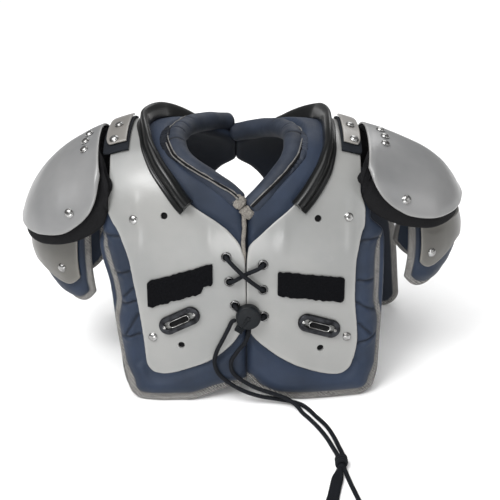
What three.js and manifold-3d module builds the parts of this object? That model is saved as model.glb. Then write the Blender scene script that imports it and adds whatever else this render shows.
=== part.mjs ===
// A youth football shoulder pad, standing on the lower edges of its chest and back pads.
// Sizes are in millimetres. x runs across the chest, y from the chest to the back, z up.
import * as THREE from 'three';
import { mergeVertices } from 'three/addons/utils/BufferGeometryUtils.js';
import Module from 'manifold-3d';

const wasm = await Module();
wasm.setup();

// The arch over the wearer: inner faces of the body pads
const chestDepth = 98; // from the middle of the body to the chest pad, at the floor
const backDepth = 100; // from the middle of the body to the back pad, at the floor
const wallHeight = 130; // height of the straight part of the chest and back walls
const wallLean = 10; // how far each wall leans in by its top
const archHeight = 252; // height under the crest
const crownSquareness = 2.5; // 2 is a round crown, more is squarer
const wallShare = 0.42; // share of the girth from floor to crest that the straight wall takes
const chestRounding = 12; // how far the chest falls back
const chestRoundingReach = 115; // at this distance from the middle
const plateWidth = 100; // one chest plate from the middle to the arm
const neckCentre = -0.12 * plateWidth; // middle of the neck opening
const shoulderReach = 1.04 * plateWidth; // from there to where the shoulders start to drop
const shoulderSlope = 0.52; // drop for each millimetre outwards
const shoulderEase = 0.28 * plateWidth; // length over which the drop sets in

// Walls and clearances
const seat = 0.3; // gap between pieces that touch
const curvedSeat = 0.7; // the same where both are faceted round the crown
const padThickness = 16;
const plateThickness = 2.7;
const strapThickness = 2.5;
const hingeThickness = 2.5;
const foamThickness = 7;
const flapPadThickness = 10;
const patchThickness = 2.2;

// Chest and back plates
const plateHem = 30; // lowest edge above the floor
const plateHemRise = 56; // how far the hem climbs towards the middle
const padHemRise = 17; // how far the pad's hem climbs towards the middle

// Neck trim and collar
const trimFlange = 14.5; // width of the flat flange on the plate
const trimFlangeThickness = 2.6;
const beadWidth = 9; // raised bead at the plate's edge
const beadHeight = 14;
const trimGap = 2; // from the plate's edge to the trim that wraps it
const trimLip = 4; // how far the trim wraps over the edge
const trimCrest = 0.7; // width of the trim over the crest as a share of the width at the chest
const collarRadius = 10;
const collarSteps = 18;

// Shoulder caps
const capRise = 16; // the cap's inner end above the arch's crest
const capCrest = archHeight + capRise;
const capHalfDepth = 88; // half of the cap's depth, chest to back
const capDrop = 100; // scale of the drops in the cap tables
const foamOverhang = 9; // how far the foam shows below the cap's rim

// Flaps over the upper arms
const flapCentre = 1.5 * plateWidth; // middle of the flap's plan ellipse, from the middle of the body
const flapReach = 0.78 * plateWidth; // from there out to the flap's face
const flapHalfDepth = 62;
const flapBackShare = 0.78; // depth of the back half as a share of the front half
const flapGap = 1.4; // between a flap's pad and its plate
const flapTop = capCrest - 72; // height of the top edge, under the cap

// Fittings
const rivetRadius = 4.75;
const rivetHeight = 2.8;
const eyeletRadius = 5.3;
const eyeletBore = 3;
const eyeletWall = 0.7;
const eyeletRim = 1.8;
const plainHoleRadius = 3.5;
const buckleLength = 45;
const buckleWidth = 19;
const buckleThickness = 3.4;
const slotLength = 24;
const slotWidth = 8;
const slotRim = 2.2;

// Lace and its lock
const laceRadius = 2.25;
const lockRadius = 12.5;
const lockDepth = 11;
const lockDome = 2.5;
const lockX = 2;
const lockZ = 103;
const lockTurn = 33; // degrees from straight down to the plunger, clockwise from the front
const plungerWidth = 9;
const plungerDepth = 5.6;
const plungerLength = 17;
const plungerShow = 7; // how far it stands out at rest
const plungerTravel = 4;
const plungerPlay = 0.4;
const knotRadius = 6.5;
const knotLength = 14;
const endWidth = 12;
const endThickness = 3;
const laceOver = { upper: 7.8, lower: 2.9 }; // the crossing laces' middles above the plates

const finishes = {
  plate: { color: 0x9a9c96, roughness: 0.38, metalness: 0.1 },
  cap: { color: 0x8f9190, roughness: 0.38, metalness: 0.1 },
  navy: { color: 0x33425a, roughness: 0.9, metalness: 0 },
  foam: { color: 0x1f2022, roughness: 0.85, metalness: 0 },
  trim: { color: 0x1c1d1e, roughness: 0.55, metalness: 0 },
  hook: { color: 0x131419, roughness: 0.95, metalness: 0 },
  blackPlastic: { color: 0x17181a, roughness: 0.4, metalness: 0 },
  steel: { color: 0xc9cacb, roughness: 0.25, metalness: 1 },
  darkSteel: { color: 0x3c3d40, roughness: 0.35, metalness: 1 },
  lace: { color: 0x101216, roughness: 0.9, metalness: 0 },
};

// Where the facets of the plates and pads meet, along the girth: closer together at the neck
const girths = [
  0, 0.1, 0.4, 0.48, 0.542, 0.584, 0.615, 0.655, 0.707, 0.768, 0.84, 0.92, 1, 1.08, 1.15, 1.22,
  1.28, 1.34, 1.39, 1.46, 1.6, 1.8, 2,
];
const girthRows = girths.length - 1;
const trimSpan = { from: 0.655, to: 1.28 };

// Edges of each half along the girth. girth is 0 at the front hem, 1 at the crest and 2 at
// the back hem. inner and outer are shares of the plate's width, from the middle.
const plateEdges = {
  left: [
    { girth: 0.0, inner: -0.03, outer: -0.95 },
    { girth: 0.1, inner: -0.004, outer: -0.98 },
    { girth: 0.38, inner: -0.004, outer: -1.08 },
    { girth: 0.49, inner: -0.01, outer: -1.13 },
    { girth: 0.542, inner: -0.05, outer: -1.18 },
    { girth: 0.584, inner: -0.16, outer: -1.23 },
    { girth: 0.61, inner: -0.28, outer: -1.28 },
    { girth: 0.655, inner: -0.53, outer: -1.33 },
    { girth: 0.707, inner: -0.68, outer: -1.3 },
    { girth: 0.768, inner: -0.83, outer: -1.3 },
    { girth: 0.84, inner: -0.93, outer: -1.3 },
    { girth: 1.0, inner: -1, outer: -1.3 },
    { girth: 1.15, inner: -0.86, outer: -1.3 },
    { girth: 1.26, inner: -0.58, outer: -1.3 },
    { girth: 1.32, inner: -0.3, outer: -1.36 },
    { girth: 1.35, inner: -0.14, outer: -1.34 },
    { girth: 1.39, inner: -0.16, outer: -1.3 },
    { girth: 1.45, inner: -0.44, outer: -1.28 },
    { girth: 1.6, inner: -0.62, outer: -1.28 },
    { girth: 2.0, inner: -0.76, outer: -1.34 },
  ],
  right: [
    { girth: 0.0, inner: 0.02, outer: 1.06 },
    { girth: 0.1, inner: 0.004, outer: 1.1 },
    { girth: 0.38, inner: 0.004, outer: 1.06 },
    { girth: 0.49, inner: 0.005, outer: 1.06 },
    { girth: 0.54, inner: 0.02, outer: 1.08 },
    { girth: 0.58, inner: 0.15, outer: 1.1 },
    { girth: 0.615, inner: 0.29, outer: 1.13 },
    { girth: 0.65, inner: 0.44, outer: 1.13 },
    { girth: 0.707, inner: 0.6, outer: 1.08 },
    { girth: 0.768, inner: 0.71, outer: 1.08 },
    { girth: 0.84, inner: 0.765, outer: 1.08 },
    { girth: 1.0, inner: 0.78, outer: 1.08 },
    { girth: 1.15, inner: 0.72, outer: 1.08 },
    { girth: 1.26, inner: 0.42, outer: 1.1 },
    { girth: 1.32, inner: 0.1, outer: 1.24 },
    { girth: 1.35, inner: -0.1, outer: 1.3 },
    { girth: 1.39, inner: -0.08, outer: 1.4 },
    { girth: 1.45, inner: 0.2, outer: 1.44 },
    { girth: 1.6, inner: 0.42, outer: 1.5 },
    { girth: 2.0, inner: 0.66, outer: 1.62 },
  ],
};

const padEdges = {
  left: [
    { girth: 0.0, inner: -0.002, outer: -1.21 },
    { girth: 0.07, inner: -0.002, outer: -1.28 },
    { girth: 0.18, inner: -0.002, outer: -1.33 },
    { girth: 0.38, inner: -0.002, outer: -1.38 },
    { girth: 0.545, inner: -0.002, outer: -1.47 },
    { girth: 0.6, inner: -0.002, outer: -1.42 },
    { girth: 0.64, inner: -0.03, outer: -1.42 },
    { girth: 0.68, inner: -0.15, outer: -1.34 },
    { girth: 0.72, inner: -0.33, outer: -1.34 },
    { girth: 0.77, inner: -0.58, outer: -1.34 },
    { girth: 0.83, inner: -0.72, outer: -1.34 },
    { girth: 0.92, inner: -0.77, outer: -1.34 },
    { girth: 1.0, inner: -0.76, outer: -1.34 },
    { girth: 1.12, inner: -0.66, outer: -1.34 },
    { girth: 1.2, inner: -0.42, outer: -1.34 },
    { girth: 1.26, inner: -0.2, outer: -1.34 },
    { girth: 1.3, inner: -0.123, outer: -1.34 },
    { girth: 1.37, inner: -0.123, outer: -1.43 },
    { girth: 1.41, inner: -0.3, outer: -1.42 },
    { girth: 1.46, inner: -0.44, outer: -1.42 },
    { girth: 1.6, inner: -0.58, outer: -1.44 },
    { girth: 2.0, inner: -0.72, outer: -1.5 },
  ],
  right: [
    { girth: 0.0, inner: 0.002, outer: 1.33 },
    { girth: 0.07, inner: 0.002, outer: 1.37 },
    { girth: 0.18, inner: 0.002, outer: 1.38 },
    { girth: 0.38, inner: 0.002, outer: 1.39 },
    { girth: 0.545, inner: 0.002, outer: 1.38 },
    { girth: 0.6, inner: 0.002, outer: 1.36 },
    { girth: 0.64, inner: 0.01, outer: 1.22 },
    { girth: 0.68, inner: 0.13, outer: 1.22 },
    { girth: 0.72, inner: 0.3, outer: 1.12 },
    { girth: 0.77, inner: 0.43, outer: 1.12 },
    { girth: 0.83, inner: 0.51, outer: 1.12 },
    { girth: 0.92, inner: 0.54, outer: 1.12 },
    { girth: 1.0, inner: 0.53, outer: 1.12 },
    { girth: 1.12, inner: 0.43, outer: 1.12 },
    { girth: 1.2, inner: 0.22, outer: 1.12 },
    { girth: 1.26, inner: 0.0, outer: 1.2 },
    { girth: 1.3, inner: -0.117, outer: 1.32 },
    { girth: 1.37, inner: -0.117, outer: 1.48 },
    { girth: 1.41, inner: 0.06, outer: 1.52 },
    { girth: 1.46, inner: 0.2, outer: 1.56 },
    { girth: 1.6, inner: 0.4, outer: 1.72 },
    { girth: 2.0, inner: 0.72, outer: 1.85 },
  ],
};

// Lower edges at the chest: across is 0 at the middle and 1 at the arm, rise a share of the
// named hem rise.
const plateHems = {
  left: [
    { across: 0.0, rise: 1.0 },
    { across: 0.12, rise: 0.68 },
    { across: 0.34, rise: 0.35 },
    { across: 0.52, rise: 0.2 },
    { across: 0.8, rise: 0.04 },
    { across: 0.92, rise: 0.03 },
    { across: 1.0, rise: 0.22 },
  ],
  right: [
    { across: 0.0, rise: 0.97 },
    { across: 0.07, rise: 0.79 },
    { across: 0.17, rise: 0.61 },
    { across: 0.32, rise: 0.39 },
    { across: 0.5, rise: 0.2 },
    { across: 0.8, rise: 0.02 },
    { across: 0.93, rise: 0.01 },
    { across: 1.0, rise: 0.16 },
  ],
};

const padHems = {
  left: [
    { across: 0.0, rise: 1.0 },
    { across: 0.22, rise: 0.6 },
    { across: 0.5, rise: 0.0 },
    { across: 0.86, rise: 0.0 },
    { across: 1.0, rise: 0.5 },
  ],
  right: [
    { across: 0.0, rise: 1.5 },
    { across: 0.08, rise: 0.6 },
    { across: 0.25, rise: 0.0 },
    { across: 0.86, rise: 0.0 },
    { across: 1.0, rise: 0.5 },
  ],
};

// The collar's middle line: across is a share of the plate's width, lift a share of the
// pad's thickness.
const collarLine = {
  left: [
    { girth: 0.655, across: -0.055, lift: 0.62 },
    { girth: 0.69, across: -0.18, lift: 0.62 },
    { girth: 0.72, across: -0.33, lift: 0.62 },
    { girth: 0.76, across: -0.51, lift: 0.62 },
    { girth: 0.8, across: -0.64, lift: 0.62 },
    { girth: 0.86, across: -0.7, lift: 0.62 },
    { girth: 0.93, across: -0.71, lift: 0.62 },
    { girth: 1.02, across: -0.68, lift: 0.7 },
    { girth: 1.12, across: -0.59, lift: 0.9 },
    { girth: 1.2, across: -0.42, lift: 1.25 },
    { girth: 1.25, across: -0.28, lift: 1.5 },
    { girth: 1.27, across: -0.17, lift: 1.6 },
  ],
  right: [
    { girth: 0.64, across: 0.025, lift: 0.62 },
    { girth: 0.68, across: 0.15, lift: 0.62 },
    { girth: 0.72, across: 0.27, lift: 0.62 },
    { girth: 0.76, across: 0.37, lift: 0.62 },
    { girth: 0.8, across: 0.44, lift: 0.62 },
    { girth: 0.86, across: 0.47, lift: 0.62 },
    { girth: 0.93, across: 0.48, lift: 0.62 },
    { girth: 1.02, across: 0.45, lift: 0.65 },
    { girth: 1.12, across: 0.35, lift: 0.75 },
    { girth: 1.2, across: 0.2, lift: 0.9 },
    { girth: 1.25, across: 0.04, lift: 1.05 },
    { girth: 1.27, across: -0.15, lift: 1.1 },
  ],
};

// Sections of the shoulder caps: out is a share of the cap's reach, half of its half depth,
// ridge and rim the drops below the crest as shares of the cap's drop.
const capReach = { left: 0.93 * plateWidth, right: 1.07 * plateWidth };
const capBow = { left: 6, right: 4 }; // how far the inner end bows outwards at the ridge
const capBackShare = 0.62; // depth of the back half as a share of the front half
const capInner = { left: 1.43 * plateWidth, right: 1.19 * plateWidth };
const capSections = {
  left: [
    { out: 0.0, half: 0.85, ridge: 0.05, rim: 0.3 },
    { out: 0.04, half: 0.97, ridge: 0.055, rim: 0.49 },
    { out: 0.12, half: 1.0, ridge: 0.08, rim: 0.65 },
    { out: 0.25, half: 1.0, ridge: 0.14, rim: 0.78 },
    { out: 0.43, half: 0.99, ridge: 0.235, rim: 0.88 },
    { out: 0.65, half: 0.88, ridge: 0.41, rim: 0.92 },
    { out: 0.85, half: 0.6, ridge: 0.665, rim: 0.94 },
    { out: 0.94, half: 0.4, ridge: 0.82, rim: 0.97 },
    { out: 1.0, half: 0.15, ridge: 0.95, rim: 1.02 },
  ],
  right: [
    { out: 0.0, half: 0.85, ridge: 0.05, rim: 0.22 },
    { out: 0.06, half: 0.98, ridge: 0.055, rim: 0.36 },
    { out: 0.15, half: 1.0, ridge: 0.075, rim: 0.5 },
    { out: 0.27, half: 1.0, ridge: 0.12, rim: 0.61 },
    { out: 0.42, half: 0.99, ridge: 0.185, rim: 0.69 },
    { out: 0.62, half: 0.92, ridge: 0.305, rim: 0.73 },
    { out: 0.8, half: 0.7, ridge: 0.455, rim: 0.74 },
    { out: 0.92, half: 0.44, ridge: 0.6, rim: 0.75 },
    { out: 1.0, half: 0.14, ridge: 0.71, rim: 0.76 },
  ],
};
// Rows of facets out along a cap, and how far the foam reaches inwards past its inner end
const capRows = [0, 0.05, 0.13, 0.25, 0.41, 0.57, 0.72, 0.84, 0.93, 1];
const capFacets = 10;
const foamInset = { ridge: 0.02, rim: 0.11 };
const foamCorner = 0.9; // how far round the foam's inner end reaches, 1 at the rim

// The hinge plates across the shoulders: shares of the plate's width
const hinges = {
  left: { from: -1.14, to: -1.33, strapFrom: -1.125, strapTo: -1.36 },
  right: { from: 0.915, to: 1.07, strapFrom: 0.9, strapTo: 1.085 },
};
const strapRound = 0.18; // how far the strap reaches to each side of the crest
const hingeRound = 0.15;

// Lower edges of the arm flaps above the floor, and how far round the arm they reach
const flapHems = {
  left: { pad: 83, plate: 103, padSpread: 82, plateSpread: 73 },
  right: { pad: 100, plate: 120, padSpread: 76, plateSpread: 68 },
};
const flapFacets = 10;
const flapCorner = 17; // rise of the lower corners
const flapPlateDrop = 20; // the plate starts this far below the pad's top
const flapBackDrop = 16; // and this much lower in its back half, under the cap's foam
const flapTuck = 0.42; // how far the lower end tucks in, as a share of the reach
const flapTuckHeight = 60; // and over what height
const flapWaist = flapTop - 66; // height of the widest part
const flapTopSpread = 0.86; // width at the top edge as a share of the widest

// Places on the chest: x from the middle, z above the floor
const fittings = {
  left: {
    eyelets: [
      { x: -19, z: 164 },
      { x: -16, z: 138 },
      { x: -11, z: 112 },
    ],
    holes: [
      { x: -0.78 * plateWidth, z: archHeight - 50 },
      { x: -64, z: 66 },
    ],
    rivets: [
      { x: -1.07 * plateWidth, z: archHeight - 55 },
      { x: -92, z: 73 },
    ],
    buckle: { x: -65, z: 94, turn: 25 },
    patch: { left: -96, right: -32, top: 146, tilt: 20, height: 29 },
  },
  right: {
    eyelets: [
      { x: 16, z: 156 },
      { x: 16, z: 129 },
      { x: 17, z: 100 },
    ],
    holes: [
      { x: 0.68 * plateWidth, z: archHeight - 52 },
      { x: 73, z: 62 },
    ],
    rivets: [
      { x: 0.97 * plateWidth, z: archHeight - 52 },
      { x: 99, z: 73 },
    ],
    buckle: { x: 71, z: 88, turn: -19 },
    patch: { left: 30, right: 95, top: 144, tilt: -9, height: 27 },
  },
};

// Rivets on the caps: out along the cap, round from the front rim (-1) to the crest (0)
const capRivets = {
  left: [
    { out: 0.14, round: -0.08 },
    { out: 0.17, round: -0.18 },
    { out: 0.17, round: -0.29 },
    { out: 0.33, round: -0.83 },
  ],
  right: [
    { out: 0.15, round: -0.02 },
    { out: 0.18, round: -0.13 },
    { out: 0.17, round: -0.25 },
    { out: 0.35, round: -0.82 },
  ],
};

const hingeRivets = [
  { girth: 0.868, across: 0.56 },
  { girth: 0.968, across: 0.45 },
];
const flapRivet = { angle: -59, above: 26 };

// The free lace ends: route points chosen by hand, millimetres
const laceTails = {
  left: [
    [-10.2, -115, 98.9],
    [-14, -115.5, 97.2],
    [-18, -116, 89],
    [-24, -116, 76],
    [-30, -116.5, 63],
    [-32.5, -116.5, 51],
    [-29, -116.5, 38],
    [-18, -116.5, 26],
    [-3, -117, 16.5],
    [14, -117, 10],
    [32, -117, 6.5],
    [47, -118, 4],
    [57, -122, 2.8],
    [64, -131, 2.8],
    [70, -142, 2.8],
    [80, -160, 2.8],
    [86, -178, 2.8],
    [90, -196, 3],
    [92.3, -210, 4.6],
    [92.4, -216.2, 5.4],
  ],
  right: [
    [2.7, -115, 90],
    [2.4, -115.5, 84],
    [-1, -116, 74],
    [-9, -116.5, 63],
    [-15.5, -117, 51],
    [-14, -117, 39],
    [-4, -117.5, 29],
    [11, -118.5, 20.5],
    [29, -120, 14.5],
    [43, -123, 10],
    [52, -128.5, 5.4],
    [57, -136, 2.8],
    [63, -146, 2.8],
    [72, -163, 2.8],
    [79, -180, 2.8],
    [84, -197, 3],
    [87, -210, 4.6],
    [87.4, -216.2, 5.4],
  ],
};
const knotPlace = { x: 90, y: -224, z: 7 };
const knotEnds = { from: -226, to: -281, flatX: 77, thinX: 103, height: 2.6 };

// Smooth reading of a table's column between its rows, without overshoot.
function readTable(rows, key, column, at) {
  const last = rows.length - 1;
  if (at <= rows[0][key]) return rows[0][column];
  if (at >= rows[last][key]) return rows[last][column];
  const slope = (i) => (rows[i + 1][column] - rows[i][column]) / (rows[i + 1][key] - rows[i][key]);
  const tangent = (i) => {
    if (i === 0) return slope(0);
    if (i === last) return slope(last - 1);
    const before = slope(i - 1);
    const after = slope(i);
    return before * after <= 0 ? 0 : (2 * before * after) / (before + after);
  };
  let i = 0;
  while (rows[i + 1][key] < at) i += 1;
  const span = rows[i + 1][key] - rows[i][key];
  const s = (at - rows[i][key]) / span;
  const rest = 1 - s;
  return (
    rows[i][column] * (1 + 2 * s) * rest * rest +
    rows[i + 1][column] * s * s * (3 - 2 * s) +
    tangent(i) * span * s * rest * rest -
    tangent(i + 1) * span * s * s * rest
  );
}

const mix = THREE.MathUtils.lerp;
const radians = THREE.MathUtils.degToRad;

// A point of the arch's inner face. hem lifts the lower end of the straight wall.
function archPoint(x, girth, hem = 0) {
  const chest = girth <= 1;
  const along = chest ? girth : 2 - girth;
  const fall = chest ? chestRounding * (x / chestRoundingReach) ** 2 : 0;
  const depth = (chest ? chestDepth : backDepth) - fall;
  const past = Math.abs(x - neckCentre) - shoulderReach;
  const crest = archHeight - (shoulderSlope * (Math.hypot(past, shoulderEase) + past)) / 2;
  let y;
  let z;
  if (along <= wallShare) {
    z = mix(hem, wallHeight, along / wallShare);
    y = depth - (wallLean * z) / wallHeight;
  } else {
    const turn = (((along - wallShare) / (1 - wallShare)) * Math.PI) / 2;
    const far = Math.abs(Math.cos(turn)) ** crownSquareness + Math.sin(turn) ** crownSquareness;
    const reach = far ** (-1 / crownSquareness);
    y = (depth - wallLean) * reach * Math.cos(turn);
    z = wallHeight + (crest - wallHeight) * reach * Math.sin(turn);
  }
  return new THREE.Vector3(x, chest ? -y : y, z);
}

// Which way the arch faces there. The straight walls face level, so that their hems are flat.
function archNormal(x, girth) {
  const step = 0.002;
  const along = archPoint(x, Math.min(2, girth + step)).sub(archPoint(x, Math.max(0, girth - step)));
  const across = archPoint(x + step, girth).sub(archPoint(x - step, girth));
  const normal = across.cross(along).normalize();
  const low = Math.min(girth, 2 - girth) / wallShare;
  normal.z *= THREE.MathUtils.smoothstep(low, 0.9, 1.25);
  return normal.normalize();
}

function onArch(x, girth, lift, hem = 0) {
  return archPoint(x, girth, hem).addScaledVector(archNormal(x, girth), lift);
}

// Girth of the point of the chest at height z on the face that is lift above the arch.
function girthAt(x, z, lift) {
  let low = 0;
  let high = 1;
  for (let i = 0; i < 30; i += 1) {
    const middle = (low + high) / 2;
    if (onArch(x, middle, lift).z < z) low = middle;
    else high = middle;
  }
  return low;
}

const plateInside = padThickness + curvedSeat;
const plateOutside = plateInside + plateThickness;
const strapLift = plateOutside + curvedSeat;
const hingeLift = strapLift + strapThickness + curvedSeat;
const laceEnd = 0.2 - plateThickness; // the laces' ends, just inside the plates' backs

// Turns a mesh's faces the right way if they point in.
function facingOut(points, faces) {
  let volume = 0;
  for (const [a, b, c] of faces) {
    const normal = new THREE.Vector3().crossVectors(points[b], points[c]);
    volume += points[a].dot(normal);
  }
  const turned = volume < 0 ? faces.map(([a, b, c]) => [a, c, b]) : faces;
  const geometry = new THREE.BufferGeometry();
  geometry.setAttribute('position', new THREE.Float32BufferAttribute(points.flatMap((p) => [p.x, p.y, p.z]), 3));
  geometry.setIndex(turned.flat());
  return geometry;
}

// A wall between two skins. point(u, v, side) gives a corner, with side 0 inside and 1 outside.
function wall(columns, rows, point) {
  const points = [];
  for (const side of [0, 1]) {
    for (let r = 0; r <= rows; r += 1) {
      for (let c = 0; c <= columns; c += 1) points.push(point(c / columns, r / rows, side));
    }
  }
  const at = (c, r, side) => side * (rows + 1) * (columns + 1) + r * (columns + 1) + c;
  const faces = [];
  const quad = (a, b, c, d) => faces.push([a, b, c], [a, c, d]);
  for (let r = 0; r < rows; r += 1) {
    for (let c = 0; c < columns; c += 1) {
      quad(at(c, r, 1), at(c + 1, r, 1), at(c + 1, r + 1, 1), at(c, r + 1, 1));
      quad(at(c, r, 0), at(c, r + 1, 0), at(c + 1, r + 1, 0), at(c + 1, r, 0));
    }
    quad(at(0, r, 0), at(0, r, 1), at(0, r + 1, 1), at(0, r + 1, 0));
    quad(at(columns, r, 0), at(columns, r + 1, 0), at(columns, r + 1, 1), at(columns, r, 1));
  }
  for (let c = 0; c < columns; c += 1) {
    quad(at(c, 0, 0), at(c + 1, 0, 0), at(c + 1, 0, 1), at(c, 0, 1));
    quad(at(c, rows, 0), at(c, rows, 1), at(c + 1, rows, 1), at(c + 1, rows, 0));
  }
  return facingOut(points, faces);
}

// A bar of one outline along a row of places. place(i) gives its origin and its two directions.
function bar(outline, steps, place) {
  const points = [];
  for (let i = 0; i <= steps; i += 1) {
    const { origin, over, up } = place(i / steps);
    for (const [a, n] of outline) {
      points.push(origin.clone().addScaledVector(over, a).addScaledVector(up, n));
    }
  }
  const sides = outline.length;
  const faces = [];
  for (let i = 0; i < steps; i += 1) {
    for (let k = 0; k < sides; k += 1) {
      const a = i * sides + k;
      const b = i * sides + ((k + 1) % sides);
      faces.push([a, b, b + sides], [a, b + sides, a + sides]);
    }
  }
  const flat = outline.map(([a, n]) => new THREE.Vector2(a, n));
  const caps = THREE.ShapeUtils.triangulateShape(flat, []);
  const first = caps.map(([a, b, c]) => [a, b, c]);
  const end = caps.map(([a, b, c]) => [a, c, b].map((k) => k + steps * sides));
  const clockwise = THREE.ShapeUtils.isClockWise(flat);
  const turn = (list) => list.map(([a, b, c]) => [a, c, b]);
  return facingOut(points, [...faces, ...(clockwise ? first : turn(first)), ...(clockwise ? end : turn(end))]);
}

// Solids for joining and cutting, and back
function solid(geometry) {
  const bare = geometry.clone();
  bare.deleteAttribute('normal');
  bare.deleteAttribute('uv');
  const merged = mergeVertices(bare, 1e-4);
  const mesh = new wasm.Mesh({
    numProp: 3,
    vertProperties: merged.attributes.position.array,
    triVerts: new Uint32Array(merged.index.array),
  });
  return new wasm.Manifold(mesh);
}

function surface(body) {
  const mesh = body.getMesh();
  const geometry = new THREE.BufferGeometry();
  geometry.setAttribute('position', new THREE.BufferAttribute(new Float32Array(mesh.vertProperties), 3));
  geometry.setIndex([...mesh.triVerts]);
  return geometry;
}

// The largest piece of a cut body, without the slivers beside the cut
function largest(body) {
  return body.decompose().reduce((a, b) => (a.volume() > b.volume() ? a : b));
}

const pads = new THREE.Group();

function add(name, geometry, finish) {
  const mesh = new THREE.Mesh(geometry, new THREE.MeshStandardMaterial(finish));
  mesh.name = name;
  pads.add(mesh);
  return mesh;
}

// A place on the chest with its own right, up and outward directions, turned by degrees.
function placeOnChest(x, z, lift, turn = 0) {
  const step = 0.5;
  const at = (px, pz) => onArch(px, girthAt(px, pz, lift), lift);
  const right = at(x + step, z).sub(at(x - step, z)).normalize();
  const up = at(x, z + step).sub(at(x, z - step)).normalize();
  const out = new THREE.Vector3().crossVectors(right, up);
  const basis = new THREE.Matrix4().makeBasis(right, up.crossVectors(out, right), out);
  basis.multiply(new THREE.Matrix4().makeRotationZ(radians(turn)));
  return basis.setPosition(at(x, z));
}

// Turns a piece made about the z axis to a direction and carries it to a point.
function standing(geometry, point, direction) {
  const turn = new THREE.Quaternion().setFromUnitVectors(new THREE.Vector3(0, 0, 1), direction);
  return geometry.applyQuaternion(turn).translate(point.x, point.y, point.z);
}

// Lathe profiles are turned about the outward direction.
function turned(profile, sides) {
  const points = profile.map(([radius, height]) => new THREE.Vector2(radius, height));
  return new THREE.LatheGeometry(points, sides).rotateX(Math.PI / 2);
}

function rivetHead() {
  return turned(
    [
      [0, 0],
      [rivetRadius, 0],
      [rivetRadius * 0.8, rivetHeight * 0.7],
      [0, rivetHeight],
    ],
    8,
  );
}

function drill(radius, length, sides) {
  return new THREE.CylinderGeometry(radius, radius, length, sides).rotateX(Math.PI / 2);
}

function hem(rows, rise, across, base, girth) {
  if (girth > 1) return base;
  return base + rise * readTable(rows, 'across', 'rise', across);
}

function acrossHalf(edges, girth, u) {
  const inner = readTable(edges, 'girth', 'inner', girth);
  const outer = readTable(edges, 'girth', 'outer', girth);
  return plateWidth * mix(inner, outer, u);
}

function archPlate(side) {
  const shell = wall(7, girthRows, (u, v, outside) => {
    const girth = girths[Math.round(v * girthRows)];
    const low = hem(plateHems[side], plateHemRise, u, plateHem, girth);
    const lift = outside ? plateOutside : plateInside;
    return onArch(acrossHalf(plateEdges[side], girth, u), girth, lift, low);
  });
  let body = clearOfFoam(solid(shell), side);
  const cut = (spot, radius) => {
    const tool = drill(radius, plateThickness * 4, 8);
    tool.applyMatrix4(placeOnChest(spot.x, spot.z, plateOutside - plateThickness / 2));
    body = body.subtract(solid(tool));
  };
  for (const spot of fittings[side].eyelets) cut(spot, eyeletBore + eyeletWall + 2 * seat);
  for (const spot of fittings[side].holes) cut(spot, plainHoleRadius);
  return surface(body);
}

function collarPath(side) {
  const points = collarLine[side].map(({ girth, across, lift }) =>
    onArch(across * plateWidth, girth, lift * padThickness),
  );
  return new THREE.CatmullRomCurve3(points);
}

function ring(radius, sides) {
  const shape = new THREE.Shape();
  for (let i = 0; i < sides; i += 1) {
    const angle = (i / sides) * 2 * Math.PI;
    const x = radius * Math.cos(angle);
    const y = radius * Math.sin(angle);
    if (i === 0) shape.moveTo(x, y);
    else shape.lineTo(x, y);
  }
  return shape;
}

function tube(curve, radius, sides, steps) {
  return new THREE.ExtrudeGeometry(ring(radius, sides), { steps, extrudePath: curve });
}

function bodyPad(side) {
  const shell = wall(5, girthRows, (u, v, outside) => {
    const girth = girths[Math.round(v * girthRows)];
    const low = hem(padHems[side], padHemRise, u, 0, girth);
    return onArch(acrossHalf(padEdges[side], girth, u), girth, outside * padThickness, low);
  });
  const roll = solid(tube(collarPath(side), collarRadius + seat, 8, collarSteps));
  return surface(clearOfFoam(solid(shell).subtract(roll), side));
}

// The right half is cut where the left half lies on it.
function collar(side) {
  const roll = tube(collarPath(side), collarRadius, 8, collarSteps);
  if (side === 'left') return roll;
  const other = solid(tube(collarPath('left'), collarRadius + seat, 8, collarSteps));
  return surface(solid(roll).subtract(other));
}

// Its facets meet where the plate's do, so that it lies along them.
function neckTrim(side) {
  const outline = [
    [-trimLip, -plateThickness],
    [-trimGap, -plateThickness],
    [-trimGap, curvedSeat + seat],
    [trimFlange, curvedSeat + seat],
    [trimFlange, trimFlangeThickness],
    [beadWidth + 1, trimFlangeThickness + 1],
    [beadWidth - 1, beadHeight * 0.62],
    [beadWidth * 0.55, beadHeight],
    [beadWidth * 0.1, beadHeight],
    [-trimLip, beadHeight * 0.6],
  ];
  const edge = (girth) => {
    const x = plateWidth * readTable(plateEdges[side], 'girth', 'inner', girth);
    return onArch(x, girth, plateOutside);
  };
  const outward = side === 'left' ? -1 : 1;
  const stations = girths.filter((girth) => girth >= trimSpan.from && girth <= trimSpan.to);
  const steps = stations.length - 1;
  return bar(outline, steps, (s) => {
    const girth = stations[Math.round(s * steps)];
    const origin = edge(girth);
    const along = edge(girth + 0.01).sub(edge(girth - 0.01)).normalize();
    const up = archNormal(origin.x, girth);
    const over = new THREE.Vector3().crossVectors(up, along).multiplyScalar(-outward).normalize();
    const square = new THREE.Vector3().crossVectors(along, over).multiplyScalar(-outward);
    over.multiplyScalar(mix(1, trimCrest, THREE.MathUtils.smoothstep(girth, 0.7, 0.88)));
    return { origin, over, up: square };
  });
}

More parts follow.
